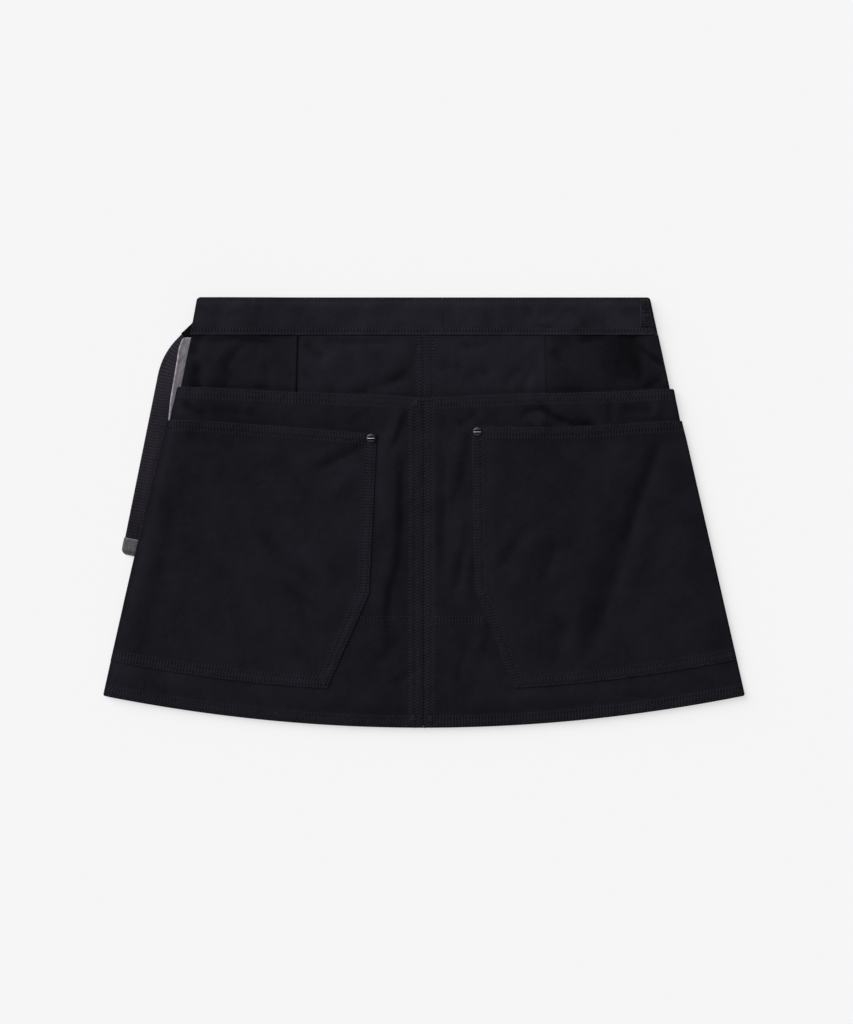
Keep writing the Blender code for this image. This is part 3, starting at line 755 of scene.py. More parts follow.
def cloth(name, places, under, thick, finish, wear_reach=1.1, shades=None):
    """A closed piece of cloth over its laid-out places, from its underside and its thickness."""
    x, drop, inset, nose = places
    masks = {"wear": np.exp(-((nose / wear_reach) ** 2))}
    # fade paints light and shade into the colour on folds, bands and edges, with a few tone patches
    if shades is not None:
        masks["fade"] = np.clip(shades(x, drop), -3, 1.8)
    low = under(x, drop)
    high = low + thick(x, drop, inset)
    middle, half = (low + high) / 2, (high - low) / 2
    nose = np.clip(nose / half, 0, 1)
    half = half * np.sqrt(1 - (1 - nose) ** 2)
    rows, columns = x.shape
    flat_x, flat_y = x * MM, (LENGTH / 2 - drop) * MM
    upper = np.stack([flat_x, flat_y, (middle + half) * MM], axis=-1).reshape(-1, 3)
    inner = (slice(1, -1), slice(1, -1))
    lower = np.stack([flat_x[inner], flat_y[inner], (middle - half)[inner] * MM], axis=-1).reshape(-1, 3)
    top_index = np.arange(rows * columns).reshape(rows, columns)
    low_index = top_index.copy()
    low_index[inner] = rows * columns + np.arange(len(lower)).reshape(rows - 2, columns - 2)

    def quads(index, order):
        corners = (index[:-1, :-1], index[1:, :-1], index[1:, 1:], index[:-1, 1:])
        return np.stack([corners[k].ravel() for k in order], axis=-1)

    faces = np.concatenate([quads(top_index, (0, 1, 2, 3)), quads(low_index, (3, 2, 1, 0))])
    mesh = bpy.data.meshes.new(name)
    mesh.from_pydata(np.concatenate([upper, lower]).tolist(), [], faces.tolist())
    for label, mask in masks.items():
        values = np.concatenate([mask.ravel(), mask[inner].ravel()])
        mesh.attributes.new(label, "FLOAT", "POINT").data.foreach_set("value", values.astype(np.float32))
    mesh.materials.append(finish)
    mesh.shade_smooth()
    piece = bpy.data.objects.new(name, mesh)
    bpy.context.scene.collection.objects.link(piece)
    pieces[name] = piece
    wide, long = float(np.ptp(x)) * MM, float(np.ptp(drop)) * MM
    SIZES[name] = (wide, long, flat_area(x, drop))
    print(f"{name}: {wide * 1000:.0f} x {long * 1000:.0f} mm, {len(faces) * 2} triangles")
    return piece


def dress(name, node_name):
    """Attaches a finished piece of cloth to the root, and hides the imported node that it stands for."""
    piece = pieces[name]
    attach(piece, "root")
    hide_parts(node_name)


# %% [markdown]
# Three masks are mixed into fade. Folds get painted shade in the hollows and at the foot of each
# ridge, and a little painted light on top. Sewn bands are paler than the cloth beside them, partly
# rubbed and partly painted light on their raised backs. The turn of an outer edge gets painted shade.

# %% Painted light and shade
NEIGHBOUR = 4.0


def painted_fold_shading(folds, x, drop):
    """Painted shade in hollows and at the foot of a ridge, a little painted light on its top."""
    height = folds(x, drop)
    steps = ((NEIGHBOUR, 0), (-NEIGHBOUR, 0), (0, NEIGHBOUR), (0, -NEIGHBOUR))
    relief = height - sum(folds(x + dx, drop + dy) for dx, dy in steps) / 4
    return np.where(relief > 0, 0.5, 3.0) * relief + 0.5 * np.minimum(height, 0)


def band_shade(inset, reach=7.5):
    """A little pale as far as a sewn band reaches: partly rubbed, partly painted light on the raised
    band.
    """
    return 0.35 * (1 - smooth((inset - reach) / 2.5))


def painted_rim_shade(inset, strength=1.5):
    """Painted shade where the cloth turns down at its edge."""
    return -strength * np.exp(-(((inset - 0.8) / 0.8) ** 2))


# %% [markdown]
# Sewn edges share one look. The cloth is turned under for 9 mm and sewn twice, so the band is
# thicker, each row of stitches pulls a groove into it, and the cloth between puckers into small
# slanting lumps.

# %% Sewn bands
BAND_INSETS = (0, 0.2, 0.5, 0.9, 1.4, 1.9, 2.5, 3.4, 4.6, 5.6, 6.4, 7.0, 7.6, 8.4, 9.6, 11.5)
ROW_NEAR, ROW_FAR = 1.4, 7.0
PLAIN_INSETS = (0, 0.25, 0.6, 1.2, 2.0, 3.2, 4.8)
JOINED_INSETS = (0, 0.04, 0.1, 0.25, 0.6, 1.2, 2.0, 3.2, 4.8)
HIDDEN_INSETS = (0, 0.6, 1.5, 4.0)


def groove(distance, deep=0.2, wide=1.1):
    """A row of stitches pulls the cloth down along its line."""
    return -deep * np.exp(-((distance / wide) ** 2))


def sewn_band(x, drop, inset, rows=(ROW_NEAR, ROW_FAR), extra=TURN_EXTRA, seed=11):
    """Extra thickness of a turned and sewn edge at an inset from it."""
    reach = rows[-1] + 1.4
    band = extra * (1 - smooth((inset - reach) / 2.2))
    lumps = wander(x + 0.8 * drop, drop - 0.8 * x, 3.6, seed)
    band += 0.13 * lumps * (1 - smooth((inset - rows[-1]) / 3.5)) * smooth(inset / 1.5)
    for row in rows:
        band += groove(inset - row)
    return band


print("rows of a turned edge at", ROW_NEAR, "and", ROW_FAR, "mm")

# %% [markdown]
# ## Back of the skirt
#
# The back panel and its waistband lie underneath. The photograph hides them, so they are finished
# plainly. The side opening at the left has a strip of grey twill facing, and its edge shows
# between the strap and the front.

# %% Back panel, back waistband and facing
BACK_SIDE = ((31.1, 190.4), (75.0, 199.6), (104.0, 208.0), (326.0, 260.2))
FACING_SIDE = (
    (32.8, 197.6), (41.0, 200.9), (51.7, 202.6), (68.1, 205.4), (84.5, 208.1), (92.7, 208.8),
    (104.0, 209.8), (326.0, 259.5),
)
FACING_WIDE = 18.0
BACK_BAND_END = 180.0


def facing_outer(drop):
    return -along(FACING_SIDE, drop)


def level(value):
    """An edge or an underside that is the same everywhere."""
    return lambda *anything: value + 0.0 * np.asarray(anything[0])


def even(value):
    """One thickness all over."""
    return lambda x, drop, inset: value + 0.0 * x


def hem_raised(x):
    return hem_drop(x) - 1.2


def back_thick(x, drop, inset):
    return CANVAS + sewn_band(x, drop, hem_raised(x) - drop, rows=(6.5,), extra=0.3, seed=12)


places = lay_out(
    (lambda drop: facing_outer(drop) + FACING_WIDE + SEAM_SLIT, lambda drop: along(BACK_SIDE, drop),
     level(WAISTBAND_DEEP + SEAM_SLIT), hem_raised),
    (HIDDEN_INSETS, 80, HIDDEN_INSETS), (HIDDEN_INSETS, 60, (0, 0.6, 1.5, 4.0, 6.5, 8.5, 11.0)),
    (0.01, 0.01, 0.01, 4.0),
)
cloth("back", places, strap_room, back_thick, canvas_body)

places = lay_out(
    (facing_outer, lambda drop: facing_outer(drop) + FACING_WIDE, level(32.8), hem_raised),
    ((0, 0.2, 0.5, 1.0, 1.6, 2.2, 3.0), 18, HIDDEN_INSETS),
    ((0, 0.2, 0.5, 1.0, 2.0, 4.0), 300, HIDDEN_INSETS),
    (2.6, 0.01, 4.0, 0.01),
)


def facing_thick(x, drop, inset):
    rolled_edge = 0.3 * np.exp(-((x - facing_outer(drop) - 1.0) ** 2))
    return 1.0 + rolled_edge + 0.04 * wander(x, drop, 5, 21)


def facing_shades(x, drop):
    """Twill shows as fine streaks on the slant, and painted shade lies in a line just inside the rolled
    outer edge.
    """
    streaks = wander(x + 0.8 * drop, 0.2 * (drop - x), 1.3, 22)
    return 1.7 * streaks - 0.8 * np.exp(-(((x - facing_outer(drop) - 2.2) / 0.8) ** 2))


cloth("facing", places, strap_room, facing_thick, grey_twill, wear_reach=1.6, shades=facing_shades)
facing_area = SIZES["facing"][2]
SIZES["facing"] = (FACING_WIDE * MM, facing_area / (FACING_WIDE * MM), facing_area)

places = lay_out(
    (level(-BACK_BAND_END), lambda drop: along(WAISTBAND_SIDE[1], drop) - 1.6,
     level(0.8), level(WAISTBAND_DEEP)),
    (HIDDEN_INSETS, 90, HIDDEN_INSETS), (HIDDEN_INSETS, 10, HIDDEN_INSETS), (0.01, 3.0, 0.01, 0.01),
)
cloth("back_band", places, strap_room, even(WAISTBAND_THICK), canvas_band)

# %% [markdown]
# ## Body front
#
# Only the yoke of the body shows, above the apron. A dart each side is a short stitched fold, which
# shows as a dark line, a narrow ditch darkened with painted shadow, with the cloth a little higher on
# its left.

# %% Body front
YOKE_ROWS = (-5.3, -0.1, 7.4)
YOKE_INSETS = (
    0, 0.04, 0.1, 0.3, 0.6, 1.0, 1.6, 2.6, 3.6, 4.6, 5.3, 6.0, 6.7, 7.4, 8.1, 9.0, 10.5, 12.5, 15, 20,
)


def dart_line(x, drop):
    """The stitched dart is a narrow ditch with a soft slope on its right."""
    line = 0.0
    for dart in DARTS:
        off = left_of_dart(dart, x, drop)
        narrow = np.exp(-((off / dart["wide"]) ** 2))
        soft = 0.3 * np.exp(-(((off + 1.6) / 1.6) ** 2))
        line = line + dart["deep"] * (narrow + soft)
    return line * (1 - smooth((drop - 84) / 10))


def body_thick(x, drop, inset):
    thick = CANVAS - dart_line(x, drop)
    for row in YOKE_ROWS:
        thick += groove(x - row, 0.2, 1.0)
    lumps = 0.09 * wander(x + 0.7 * drop, drop, 3.6, 13) * (1 - smooth((abs(x) - 9) / 4))
    under_band = 0.12 * wander(x, drop, 5.0, 14) * (1 - smooth((drop - 34) / 8))
    return thick + lumps + under_band


def left_side(sides):
    return lambda drop: -along(sides[0], drop)


def right_side(sides):
    return lambda drop: along(sides[1], drop)


def yoke_folds(x, drop):
    return creases(YOKE_CREASES, x, drop) + ditch(drop, along(APRON_TOP, x), 0.6)


def yoke_shades(x, drop):
    side = side_at(BODY_SIDE, x, drop) - abs(x)
    # painted shade: beyond each dart the yoke is darker, most on the right, as if turned from the light
    painted_shade_beyond_darts = 0.3 - 0.8 * smooth((-98 - x) / 10) - 1.6 * smooth((x - 97) / 12)
    beside_seam = -1.0 * np.exp(-(((x + 9.5) / 2.6) ** 2))
    patches = painted_shade_beyond_darts + beside_seam + painted_rim_shade(side)
    # the dart's ditch is darkened further with painted shadow
    return painted_fold_shading(yoke_folds, x, drop) - 1.6 * dart_line(x, drop) + patches


yoke_down = tuple([0, 0.25, 0.6, 1.5, *np.arange(3.0, 60.0, 1.6)])
near_dart = np.arange(99.0, 107.0, 0.45)
dart_columns = tuple([*YOKE_INSETS, *np.arange(22.0, 98.5, 2.0), *near_dart])
for name, edges, across, blunt in (
    ("body_front_left", (left_side(BODY_SIDE), level(-SEAM_SLIT / 2)),
     (PLAIN_INSETS, 50, dart_columns), (1, 25, 1.3, 1)),
    ("body_front_right", (level(SEAM_SLIT / 2), right_side(BODY_SIDE)),
     (dart_columns, 50, PLAIN_INSETS), (25, 1, 1.3, 1)),
):
    places = lay_out(
        (*edges, level(WAISTBAND_DEEP + SEAM_SLIT), lambda x: hem_drop(x) - 1.8),
        across, (yoke_down, 24, HIDDEN_INSETS), blunt=blunt,
    )
    cloth(name, places, body_under, body_thick, canvas_body, shades=yoke_shades)

# %% [markdown]
# ## Front waistband
#
# Two lengths meet at a join just right of the centre. The band is folded along its top edge, and
# edge-stitched top and bottom, so it pinches in along both rows. Its right end rolls down over the
# back band at the side fold.

# %% Front waistband
BAND_JOIN = 15.7
BAND_TOP_ROW, BAND_LOW_ROW = 3.6, 28.5


def band_folds(x, drop):
    return 1.6 * creases(WAISTBAND_CREASES, x, drop)


def band_shades(x, drop):
    side = side_at(WAISTBAND_SIDE, x, drop) - abs(x)
    # painted light along the band's top fold, which faces the light
    painted_lit_top = 1.0 * (1 - smooth((drop - 2.5) / 6.5))
    rims = np.minimum(painted_rim_shade(side), painted_rim_shade(drop, 2.8))
    return painted_fold_shading(band_folds, x, drop) + painted_lit_top + rims


def band_under(x, drop):
    base = WAISTBAND_THICK + LAYER_GAP + strap_room(x, drop, 60) + creases(WAISTBAND_CREASES, x, drop)
    lifted = base + 0.55 + 0.5 * rumple(x, drop) + 0.18 * wander(x + drop, drop, 11, 15)
    side = side_at(WAISTBAND_SIDE, x, drop) - abs(x)
    return lifted - 1.5 * (1 - smooth(side / 2.4)) * (x > 0)


def band_thick(x, drop, inset):
    pinch = groove(drop - BAND_TOP_ROW, 0.2, 0.8) + groove(drop - BAND_LOW_ROW, 0.5, 1.15)
    lumps = 0.1 * wander(x + 0.6 * drop, drop, 3.4, 16)
    near_rows = np.exp(-(((drop - 1.6) / 2.5) ** 2)) + np.exp(-(((drop - 29.5) / 2.5) ** 2))
    crown = 0.45 * smooth(drop / 9) * smooth((31 - drop) / 8)
    return 1.7 + crown + pinch + lumps * near_rows


band_down = (
    (0, 0.25, 0.6, 1.0, 1.5, 2.1, 2.9, 3.6, 4.3, 5.4), 12, (0, 0.25, 0.6, 1.0, 1.5, 2.0, 2.6, 3.3, 4.6),
)
for name, edges, across, corners, blunt in (
    ("waistband_front_left", (left_side(WAISTBAND_SIDE), level(BAND_JOIN - SEAM_SLIT / 2)),
     (PLAIN_INSETS, 110, JOINED_INSETS), (2.8, 0.01, 0.01, 0.01), (1, 25, 1.4, 3)),
    ("waistband_front_right", (level(BAND_JOIN + SEAM_SLIT / 2), right_side(WAISTBAND_SIDE)),
     (JOINED_INSETS, 90, PLAIN_INSETS), (0.01, 2.2, 0.01, 0.01), (25, 1, 1.4, 3)),
):
    places = lay_out((*edges, level(0.0), level(WAISTBAND_DEEP)), across, band_down, corners, blunt)
    cloth(name, places, band_under, band_thick, canvas_band, shades=band_shades)

# %% [markdown]
# ## Apron
#
# Two halves joined by a felled seam down the centre. The top and the hem are turned and sewn.
# Between the pockets the fronts puff up and break into the sharpest creases of the skirt.

# %% Apron
def apron_top(x):
    return along(APRON_TOP, x)


def mouth_folds(x, drop):
    """The apron's own mouth creases lie only where no pocket covers it."""
    pocket_top = np.where(x < 0, along(POCKET_TOP_LEFT, x), along(POCKET_TOP_RIGHT, x))
    shown = 1 - smooth((drop - pocket_top - 1) / 10)
    between = (abs(x) < 36) * 1.0
    sunk = ditch(drop, pocket_top, 0.4) * smooth((abs(x) - 40) / 6)
    return creases(MOUTH_CREASES, x, drop) * np.maximum(shown, between) + sunk


def apron_form(x, drop):
    side = side_at(APRON_SIDE, x, drop) - abs(x)
    roll = -1.0 * (1 - smooth(side / 2.2)) * (x > 0)
    return apron_under(x, drop) + mouth_folds(x, drop) + roll


def apron_folds(x, drop):
    return creases(APRON_CREASES, x, drop) + mouth_folds(x, drop)


SEAM_LEFT, SEAM_RIGHT = 10.0, 9.4
APRON_ROWS = (-6.8, -1.3, 0.9, 6.5)
HEM_ROWS = (1.8, 7.0)
PALE_STRIP_X = -37.0


def off_seam(x):
    """How far a place lies outside the felled seam down the centre front."""
    return np.maximum(-x - SEAM_LEFT, x - SEAM_RIGHT)


def apron_thick(x, drop, inset):
    top_band = sewn_band(x, drop, drop - apron_top(x), rows=(ROW_NEAR, ROW_FAR), seed=17)
    hem_band = sewn_band(x, drop, hem_drop(x) - drop, rows=HEM_ROWS, extra=0.3, seed=18)
    seam = 1.4 * TURN_EXTRA * (1 - smooth(off_seam(x) / 2.0))
    seam += 0.12 * wander(x + 0.8 * drop, drop, 3.6, 19) * (1 - smooth(off_seam(x) / 3))
    for row in APRON_ROWS:
        seam += groove(x - row, 0.15, 1.0)
    seam += groove(x, 0.12 + 0.2 * smooth((drop - 240) / 60), 0.5)
    return APRON_CLOTH + np.maximum(np.maximum(top_band, hem_band), seam)


def apron_shades(x, drop):
    side, hem = side_at(APRON_SIDE, x, drop) - abs(x), hem_drop(x) - drop
    bands = np.maximum(band_shade(drop - apron_top(x)), band_shade(hem))
    bands = np.maximum(bands, band_shade(off_seam(x), 0.0))
    join = -(0.4 + 0.5 * smooth((drop - 255) / 30)) * np.exp(-((x / 0.6) ** 2))
    between_pockets = -0.15 - 0.5 * smooth((drop - 120) / 30) * (1 - smooth((abs(x) - 60) / 20))
    between_pockets -= 0.15 * (1 - smooth((hem - 18) / 6))
    pale_strip = 1.1 * np.exp(-(((x - PALE_STRIP_X) / 5.5) ** 2))
    beside_pocket = pale_strip * smooth((drop - 108) / 20) * smooth((205 - drop) / 40)
    patches = join + between_pockets + beside_pocket + painted_rim_shade(np.minimum(side, hem))
    return painted_fold_shading(apron_folds, x, drop) + bands + patches


seam_columns = (
    0, 0.04, 0.1, 0.3, 0.6, 0.9, 1.3, 1.8, 2.6, 3.8, 5.0, 6.0, 6.7, 7.4, 8.4, 10.0, 12.0, 14.0,
)
hem_insets = (0, 0.25, 0.6, 1.0, 1.4, 1.8, 2.2, 2.8, 3.8, 5.2, 6.2, 7.0, 7.8, 9.0, 10.4, 12.5)
apron_down = (BAND_INSETS, 116, hem_insets)
for name, edges, across, corners, blunt in (
    ("apron_front_left", (left_side(APRON_SIDE), level(-SEAM_SLIT / 2)),
     (PLAIN_INSETS, 125, seam_columns), (1.6, 0.01, 1.8, 0.01), (1, 25, 1.5, 1)),
    ("apron_front_right", (level(SEAM_SLIT / 2), right_side(APRON_SIDE)),
     (seam_columns, 125, PLAIN_INSETS), (0.01, 1.5, 0.01, 2.0), (25, 1, 1.5, 1)),
):
    places = lay_out((*edges, apron_top, hem_drop), across, apron_down, corners, blunt)
    cloth(name, places, apron_form, apron_thick, canvas_apron, shades=apron_shades)

# %% [markdown]
# ## Patch pockets
#
# Each pocket is one large patch, open along its top and caught in the side seam. All its free edges
# are turned and sewn twice. The lower inner corner is cut off at a slant.

# %% Patch pockets
POCKET_EDGE_LEFT = ((112.0, 38.1), (243.0, 44.5), (322.0, 79.5))
POCKET_EDGE_RIGHT = ((106.4, 39.6), (239.0, 42.2), (321.0, 75.0))
POCKET_BASE, POCKET_BOW = (323.5, 322.8), 0.000383
RIVET_LEFT, RIVET_RIGHT = (-43.0, 115.7), (44.2, 110.4)


def pocket_bottom(x):
    """The base follows a bow like the hem's. The left pocket hangs a little lower than the right."""
    return np.where(np.asarray(x) < 0, *POCKET_BASE) - POCKET_BOW * np.square(x)


def pocket_folds(x, drop):
    return creases(APRON_CREASES, x, drop)


def pocket_maker(sign, edge, top_table, rivet_at):
    """The four edges, the underside, the thickness and the shades of one pocket."""

    def inner(drop):
        return sign * along(edge, drop)

    def outer(drop):
        return sign * along(POCKET_SIDE[sign > 0], drop)

    def top(x):
        return along(top_table, x)

    def under(x, drop):
        side = side_at(POCKET_SIDE, x, drop) - abs(x)
        roll = -0.7 * (1 - smooth(side / 2.0)) * (sign > 0)
        mouth = 0.3 * (1 + wander(x, drop, 22, 24)) * smooth(1 - (drop - top(x)) / 20)
        return pocket_under(x, drop, top_table) + roll + mouth

    def from_edge(x, drop):
        near = np.minimum(drop - top(x), pocket_bottom(x) - drop)
        return np.maximum(np.minimum(near, 0.93 * abs(x - inner(drop))), 0.0)

    def thick(x, drop, inset):
        ring = (np.hypot(x - rivet_at[0], drop - rivet_at[1]) - 3.9) / 0.9
        return POCKET_CLOTH + sewn_band(x, drop, from_edge(x, drop), seed=25) - 0.35 * np.exp(-(ring**2))

    def shades(x, drop):
        side = side_at(POCKET_SIDE, x, drop) - abs(x)
        # painted shadow of the rivet, to its lower right; painted light where the right pocket rises from
        # its inner edge
        from_rivet = np.hypot(x - rivet_at[0] - 0.8, drop - rivet_at[1] - 0.9)
        painted_rivet_shadow = np.exp(-(((from_rivet - 4.2) / 1.3) ** 2))
        beside_rim = np.exp(-(((side - 19) / 9) ** 2)) * (sign < 0)
        painted_lit_inner_rise = np.exp(-(((abs(x - inner(drop)) - 12) / 5) ** 2)) * (sign > 0)
        patches = band_shade(from_edge(x, drop)) - 2.2 * painted_rivet_shadow - 1.2 * beside_rim + 0.7 * painted_lit_inner_rise
        return painted_fold_shading(pocket_folds, x, drop) + patches + painted_rim_shade(side)

    return inner, outer, top, under, thick, shades


pocket_down = (BAND_INSETS, 112, BAND_INSETS)
inner, outer, top, left_under, left_thick, shades = pocket_maker(
    -1, POCKET_EDGE_LEFT, POCKET_TOP_LEFT, RIVET_LEFT,
)
places = lay_out(
    (outer, inner, top, pocket_bottom), (PLAIN_INSETS, 92, BAND_INSETS), pocket_down,
    blunt=(1, 1.3, 1.6, 1.2),
)
cloth("pocket_front_left", places, left_under, left_thick, canvas_left, shades=shades)
inner, outer, top, right_under, right_thick, shades = pocket_maker(
    1, POCKET_EDGE_RIGHT, POCKET_TOP_RIGHT, RIVET_RIGHT,
)
places = lay_out(
    (inner, outer, top, pocket_bottom), (BAND_INSETS, 92, PLAIN_INSETS), pocket_down,
    blunt=(2.4, 1, 1.6, 1.2),
)
cloth("pocket_front_right", places, right_under, right_thick, canvas_right, shades=shades)

# %% [markdown]
# ## Webbing
#
# The strap is a flat core with a rib across it about every 2.5 mm. The ribs follow the strap's bend,
# which is a job for Geometry Nodes: one tree lays a small solid at even steps along any path, turns
# it to the path and the surface, and makes it real mesh at the end. The same tree will sew the
# stitches.

# %% Tree that repeats a solid along paths
repeat = bpy.data.node_groups.new("Repeat along paths", "GeometryNodeTree")
repeat.is_modifier = True
for label, kind, value in (
    ("Geometry", "NodeSocketGeometry", None), ("Step", FLOAT, 0.0026), ("Long", FLOAT, 0.0018),
    ("Wide", FLOAT, 0.0005), ("High", FLOAT, 0.0004), ("Unevenness", FLOAT, 0.1),
    ("Segments", "NodeSocketInt", 6), ("Rings", "NodeSocketInt", 4), ("Bar", "NodeSocketBool", False),
    ("Seed", "NodeSocketInt", 1), ("Fade", FLOAT, 0.0), ("Shift", FLOAT, 0.0),
    ("Finish", "NodeSocketMaterial", None),
):
    socket = repeat.interface.new_socket(label, in_out="INPUT", socket_type=kind)
    if value is not None:
        socket.default_value = value
repeat.interface.new_socket("Geometry", in_out="OUTPUT", socket_type="NodeSocketGeometry")
given = repeat.nodes.new("NodeGroupInput").outputs
result = repeat.nodes.new("NodeGroupOutput")
up = node(repeat, "GeometryNodeInputNamedAttribute", [("Name", "up")], data_type="FLOAT_VECTOR")
paths = node(repeat, "GeometryNodeMeshToCurve", [("Mesh", given["Geometry"])])
even_paths = node(repeat, "GeometryNodeResampleCurve", [
    ("Curve", paths.outputs["Curve"]), ("Length", given["Step"]),
], mode="LENGTH")
tangent = node(repeat, "GeometryNodeInputTangent")
moved = arithmetic(repeat, "MULTIPLY", given["Step"], given["Shift"])
forward = node(repeat, "ShaderNodeVectorMath", [(0, tangent.outputs["Tangent"])], operation="SCALE")
repeat.links.new(moved, forward.inputs["Scale"])
shifted = node(repeat, "GeometryNodeSetPosition", [
    ("Geometry", even_paths.outputs["Curve"]), ("Offset", forward.outputs["Vector"]),
])
ball = node(repeat, "GeometryNodeMeshUVSphere", [
    ("Segments", given["Segments"]), ("Rings", given["Rings"]), ("Radius", 0.5),
])
rod = node(repeat, "GeometryNodeMeshCylinder", [
    ("Vertices", given["Segments"]), ("Radius", 0.5), ("Depth", 1.0),
])
lying = node(repeat, "GeometryNodeTransform", [
    ("Geometry", rod.outputs["Mesh"]), ("Rotation", (math.pi / 2, 0, 0)),
])
solid = node(repeat, "GeometryNodeSwitch", [
    ("Switch", given["Bar"]), ("False", ball.outputs["Mesh"]), ("True", lying.outputs["Geometry"]),
], input_type="GEOMETRY")
size = node(repeat, "ShaderNodeCombineXYZ", [
    ("X", given["Long"]), ("Y", given["Wide"]), ("Z", given["High"]),
])
upright = node(repeat, "FunctionNodeAlignRotationToVector", [
    ("Vector", up.outputs["Attribute"]),
], axis="Z")
turned = node(repeat, "FunctionNodeAlignRotationToVector", [
    ("Rotation", upright.outputs["Rotation"]), ("Vector", tangent.outputs["Tangent"]),
], axis="X", pivot_axis="Z")
chance = node(repeat, "FunctionNodeRandomValue", [("Seed", given["Seed"])], data_type="FLOAT")
repeat.links.new(arithmetic(repeat, "SUBTRACT", 1.0, given["Unevenness"]), chance.inputs[2])
repeat.links.new(arithmetic(repeat, "ADD", 1.0, given["Unevenness"]), chance.inputs[3])
scaled = node(repeat, "ShaderNodeVectorMath", [(0, size.outputs["Vector"])], operation="SCALE")
repeat.links.new(chance.outputs[1], scaled.inputs["Scale"])
copies = node(repeat, "GeometryNodeInstanceOnPoints", [
    ("Points", shifted.outputs["Geometry"]), ("Instance", solid.outputs["Output"]),
    ("Rotation", turned.outputs["Rotation"]), ("Scale", scaled.outputs["Vector"]),
])
real = node(repeat, "GeometryNodeRealizeInstances", [("Geometry", copies.outputs["Instances"])])
# the fade stored here makes the lumps paler: partly rubbed wear, partly painted light
faded = node(repeat, "GeometryNodeStoreNamedAttribute", [
    ("Geometry", real.outputs["Geometry"]), ("Name", "fade"), ("Value", given["Fade"]),
], data_type="FLOAT", domain="POINT")
finished = node(repeat, "GeometryNodeSetMaterial", [
    ("Geometry", faded.outputs["Geometry"]), ("Material", given["Finish"]),
])
repeat.links.new(finished.outputs["Geometry"], result.inputs["Geometry"])
print("tree:", repeat.name)


def run_tree(name, paths_and_ups, finish, **sizes):
    """Lays the solid along paths, each a pair of point and up arrays, and keeps the result as a mesh."""
    verts, ups, edges = [], [], []
    for points, directions in paths_and_ups:
        first = len(verts)
        verts.extend(points.tolist())
        ups.extend(directions.tolist())
        edges.extend((first + k, first + k + 1) for k in range(len(points) - 1))
    mesh = bpy.data.meshes.new(name)
    mesh.from_pydata(verts, edges, [])
    mesh.attributes.new("up", "FLOAT_VECTOR", "POINT").data.foreach_set("vector", np.array(ups).ravel())
    piece = bpy.data.objects.new(name, mesh)
    bpy.context.scene.collection.objects.link(piece)
    modifier = piece.modifiers.new("repeat", "NODES")
    modifier.node_group = repeat
    inputs = [item for item in repeat.interface.items_tree if item.in_out == "INPUT"]
    sockets = {item.name: item.identifier for item in inputs}
    modifier[sockets["Finish"]] = finish
    for label, value in sizes.items():
        modifier[sockets[label.replace("_", " ").capitalize()]] = value
    evaluated = piece.evaluated_get(bpy.context.evaluated_depsgraph_get())
    made = bpy.data.meshes.new_from_object(evaluated)
    piece.modifiers.clear()
    piece.data = made
    made.name = name
    made.shade_smooth()
    pieces[name] = piece
    print(f"{name}: {len(made.polygons)} faces")
    return piece


# %% [markdown]
# The strap's core and its leather end are laid out like the rest, along the strap's middle line. The
# keeper is a near-black scrap that fills the corner where the strap goes in under the waistband: it is
# painted shadow, for the strap lies in deep shade there.

# %% Strap, end and keeper
def strap_grid(start, length, wide, across_steps, steps, corner=0.01):
    """Rows of places across the strap, from a run along its middle line."""
    edges = (level(-wide / 2), level(wide / 2), level(0.0), level(length))
    across = ((0, 0.25, 0.6, 1.2, 2.2), across_steps, (0, 0.25, 0.6, 1.2, 2.2))
    down = ((0, 0.25, 0.6, 1.2, 2.2), steps, (0, 0.25, 0.6, 1.2, 2.2, 3.6, 5.2))
    side, run, inset, nose = lay_out(edges, across, down, (0.01, 0.01, corner, corner))
    x, drop = np.zeros_like(side), np.zeros_like(side)
    for r, c in np.ndindex(side.shape):
        middle_x, middle_drop, angle = strap_station(start + float(run[r, c]))
        x[r, c] = middle_x + side[r, c] * math.cos(angle)
        drop[r, c] = middle_drop + side[r, c] * math.sin(angle)
    return x, drop, inset, nose


# the strap is paler round its bend and darker lower down
STRAP_TONE = ((40.0, 1.8), (65.0, 1.9), (94.0, 0.8), (123.0, -0.1), (156.0, -0.6), (205.0, -0.9))


def strap_shades(x, drop):
    return along(STRAP_TONE, drop) + 0.5 * wander(x + 0.2 * drop, 0.15 * drop, 2.2, 35)


cloth("strap_core", strap_grid(0.0, STRAP_LONG, STRAP_WIDE, 8, 150), level(0.1), even(1.55), webbing,
      shades=strap_shades)
# its area is stated a hair under its length times its width
STRAP_FILL = 0.998
strap_wide, strap_long = STRAP_WIDE * MM, STRAP_LONG * MM
SIZES["strap_core"] = (strap_wide, strap_long, strap_wide * strap_long * STRAP_FILL)
tip_places = strap_grid(STRAP_LONG + 0.1, TIP_LONG, 26.6, 22, 10, 5.0)


def tip_thick(x, drop, inset):
    return 2.0 + 0.22 * wander(x, drop, 1.6, 31) + groove(inset - 2.2, 0.2, 0.7)


def tip_shades(x, drop):
    """Streaks that run with the strap, a dark line along the seam, and darker towards its outer end."""
    run = drop - STRAP_LINE[-2][1] - 0.2 * (x - STRAP_LINE[-2][0])
    streaks = 1.5 * wander(x + 0.2 * drop, 0.4 * drop, 1.5, 33)
    return streaks - 1.9 * smooth((run - 7) / 5) - 1.5 * np.exp(-(((run - 1.6) / 0.7) ** 2))


cloth("strap_end", tip_places, level(0.0), tip_thick, leather, wear_reach=1.4, shades=tip_shades)

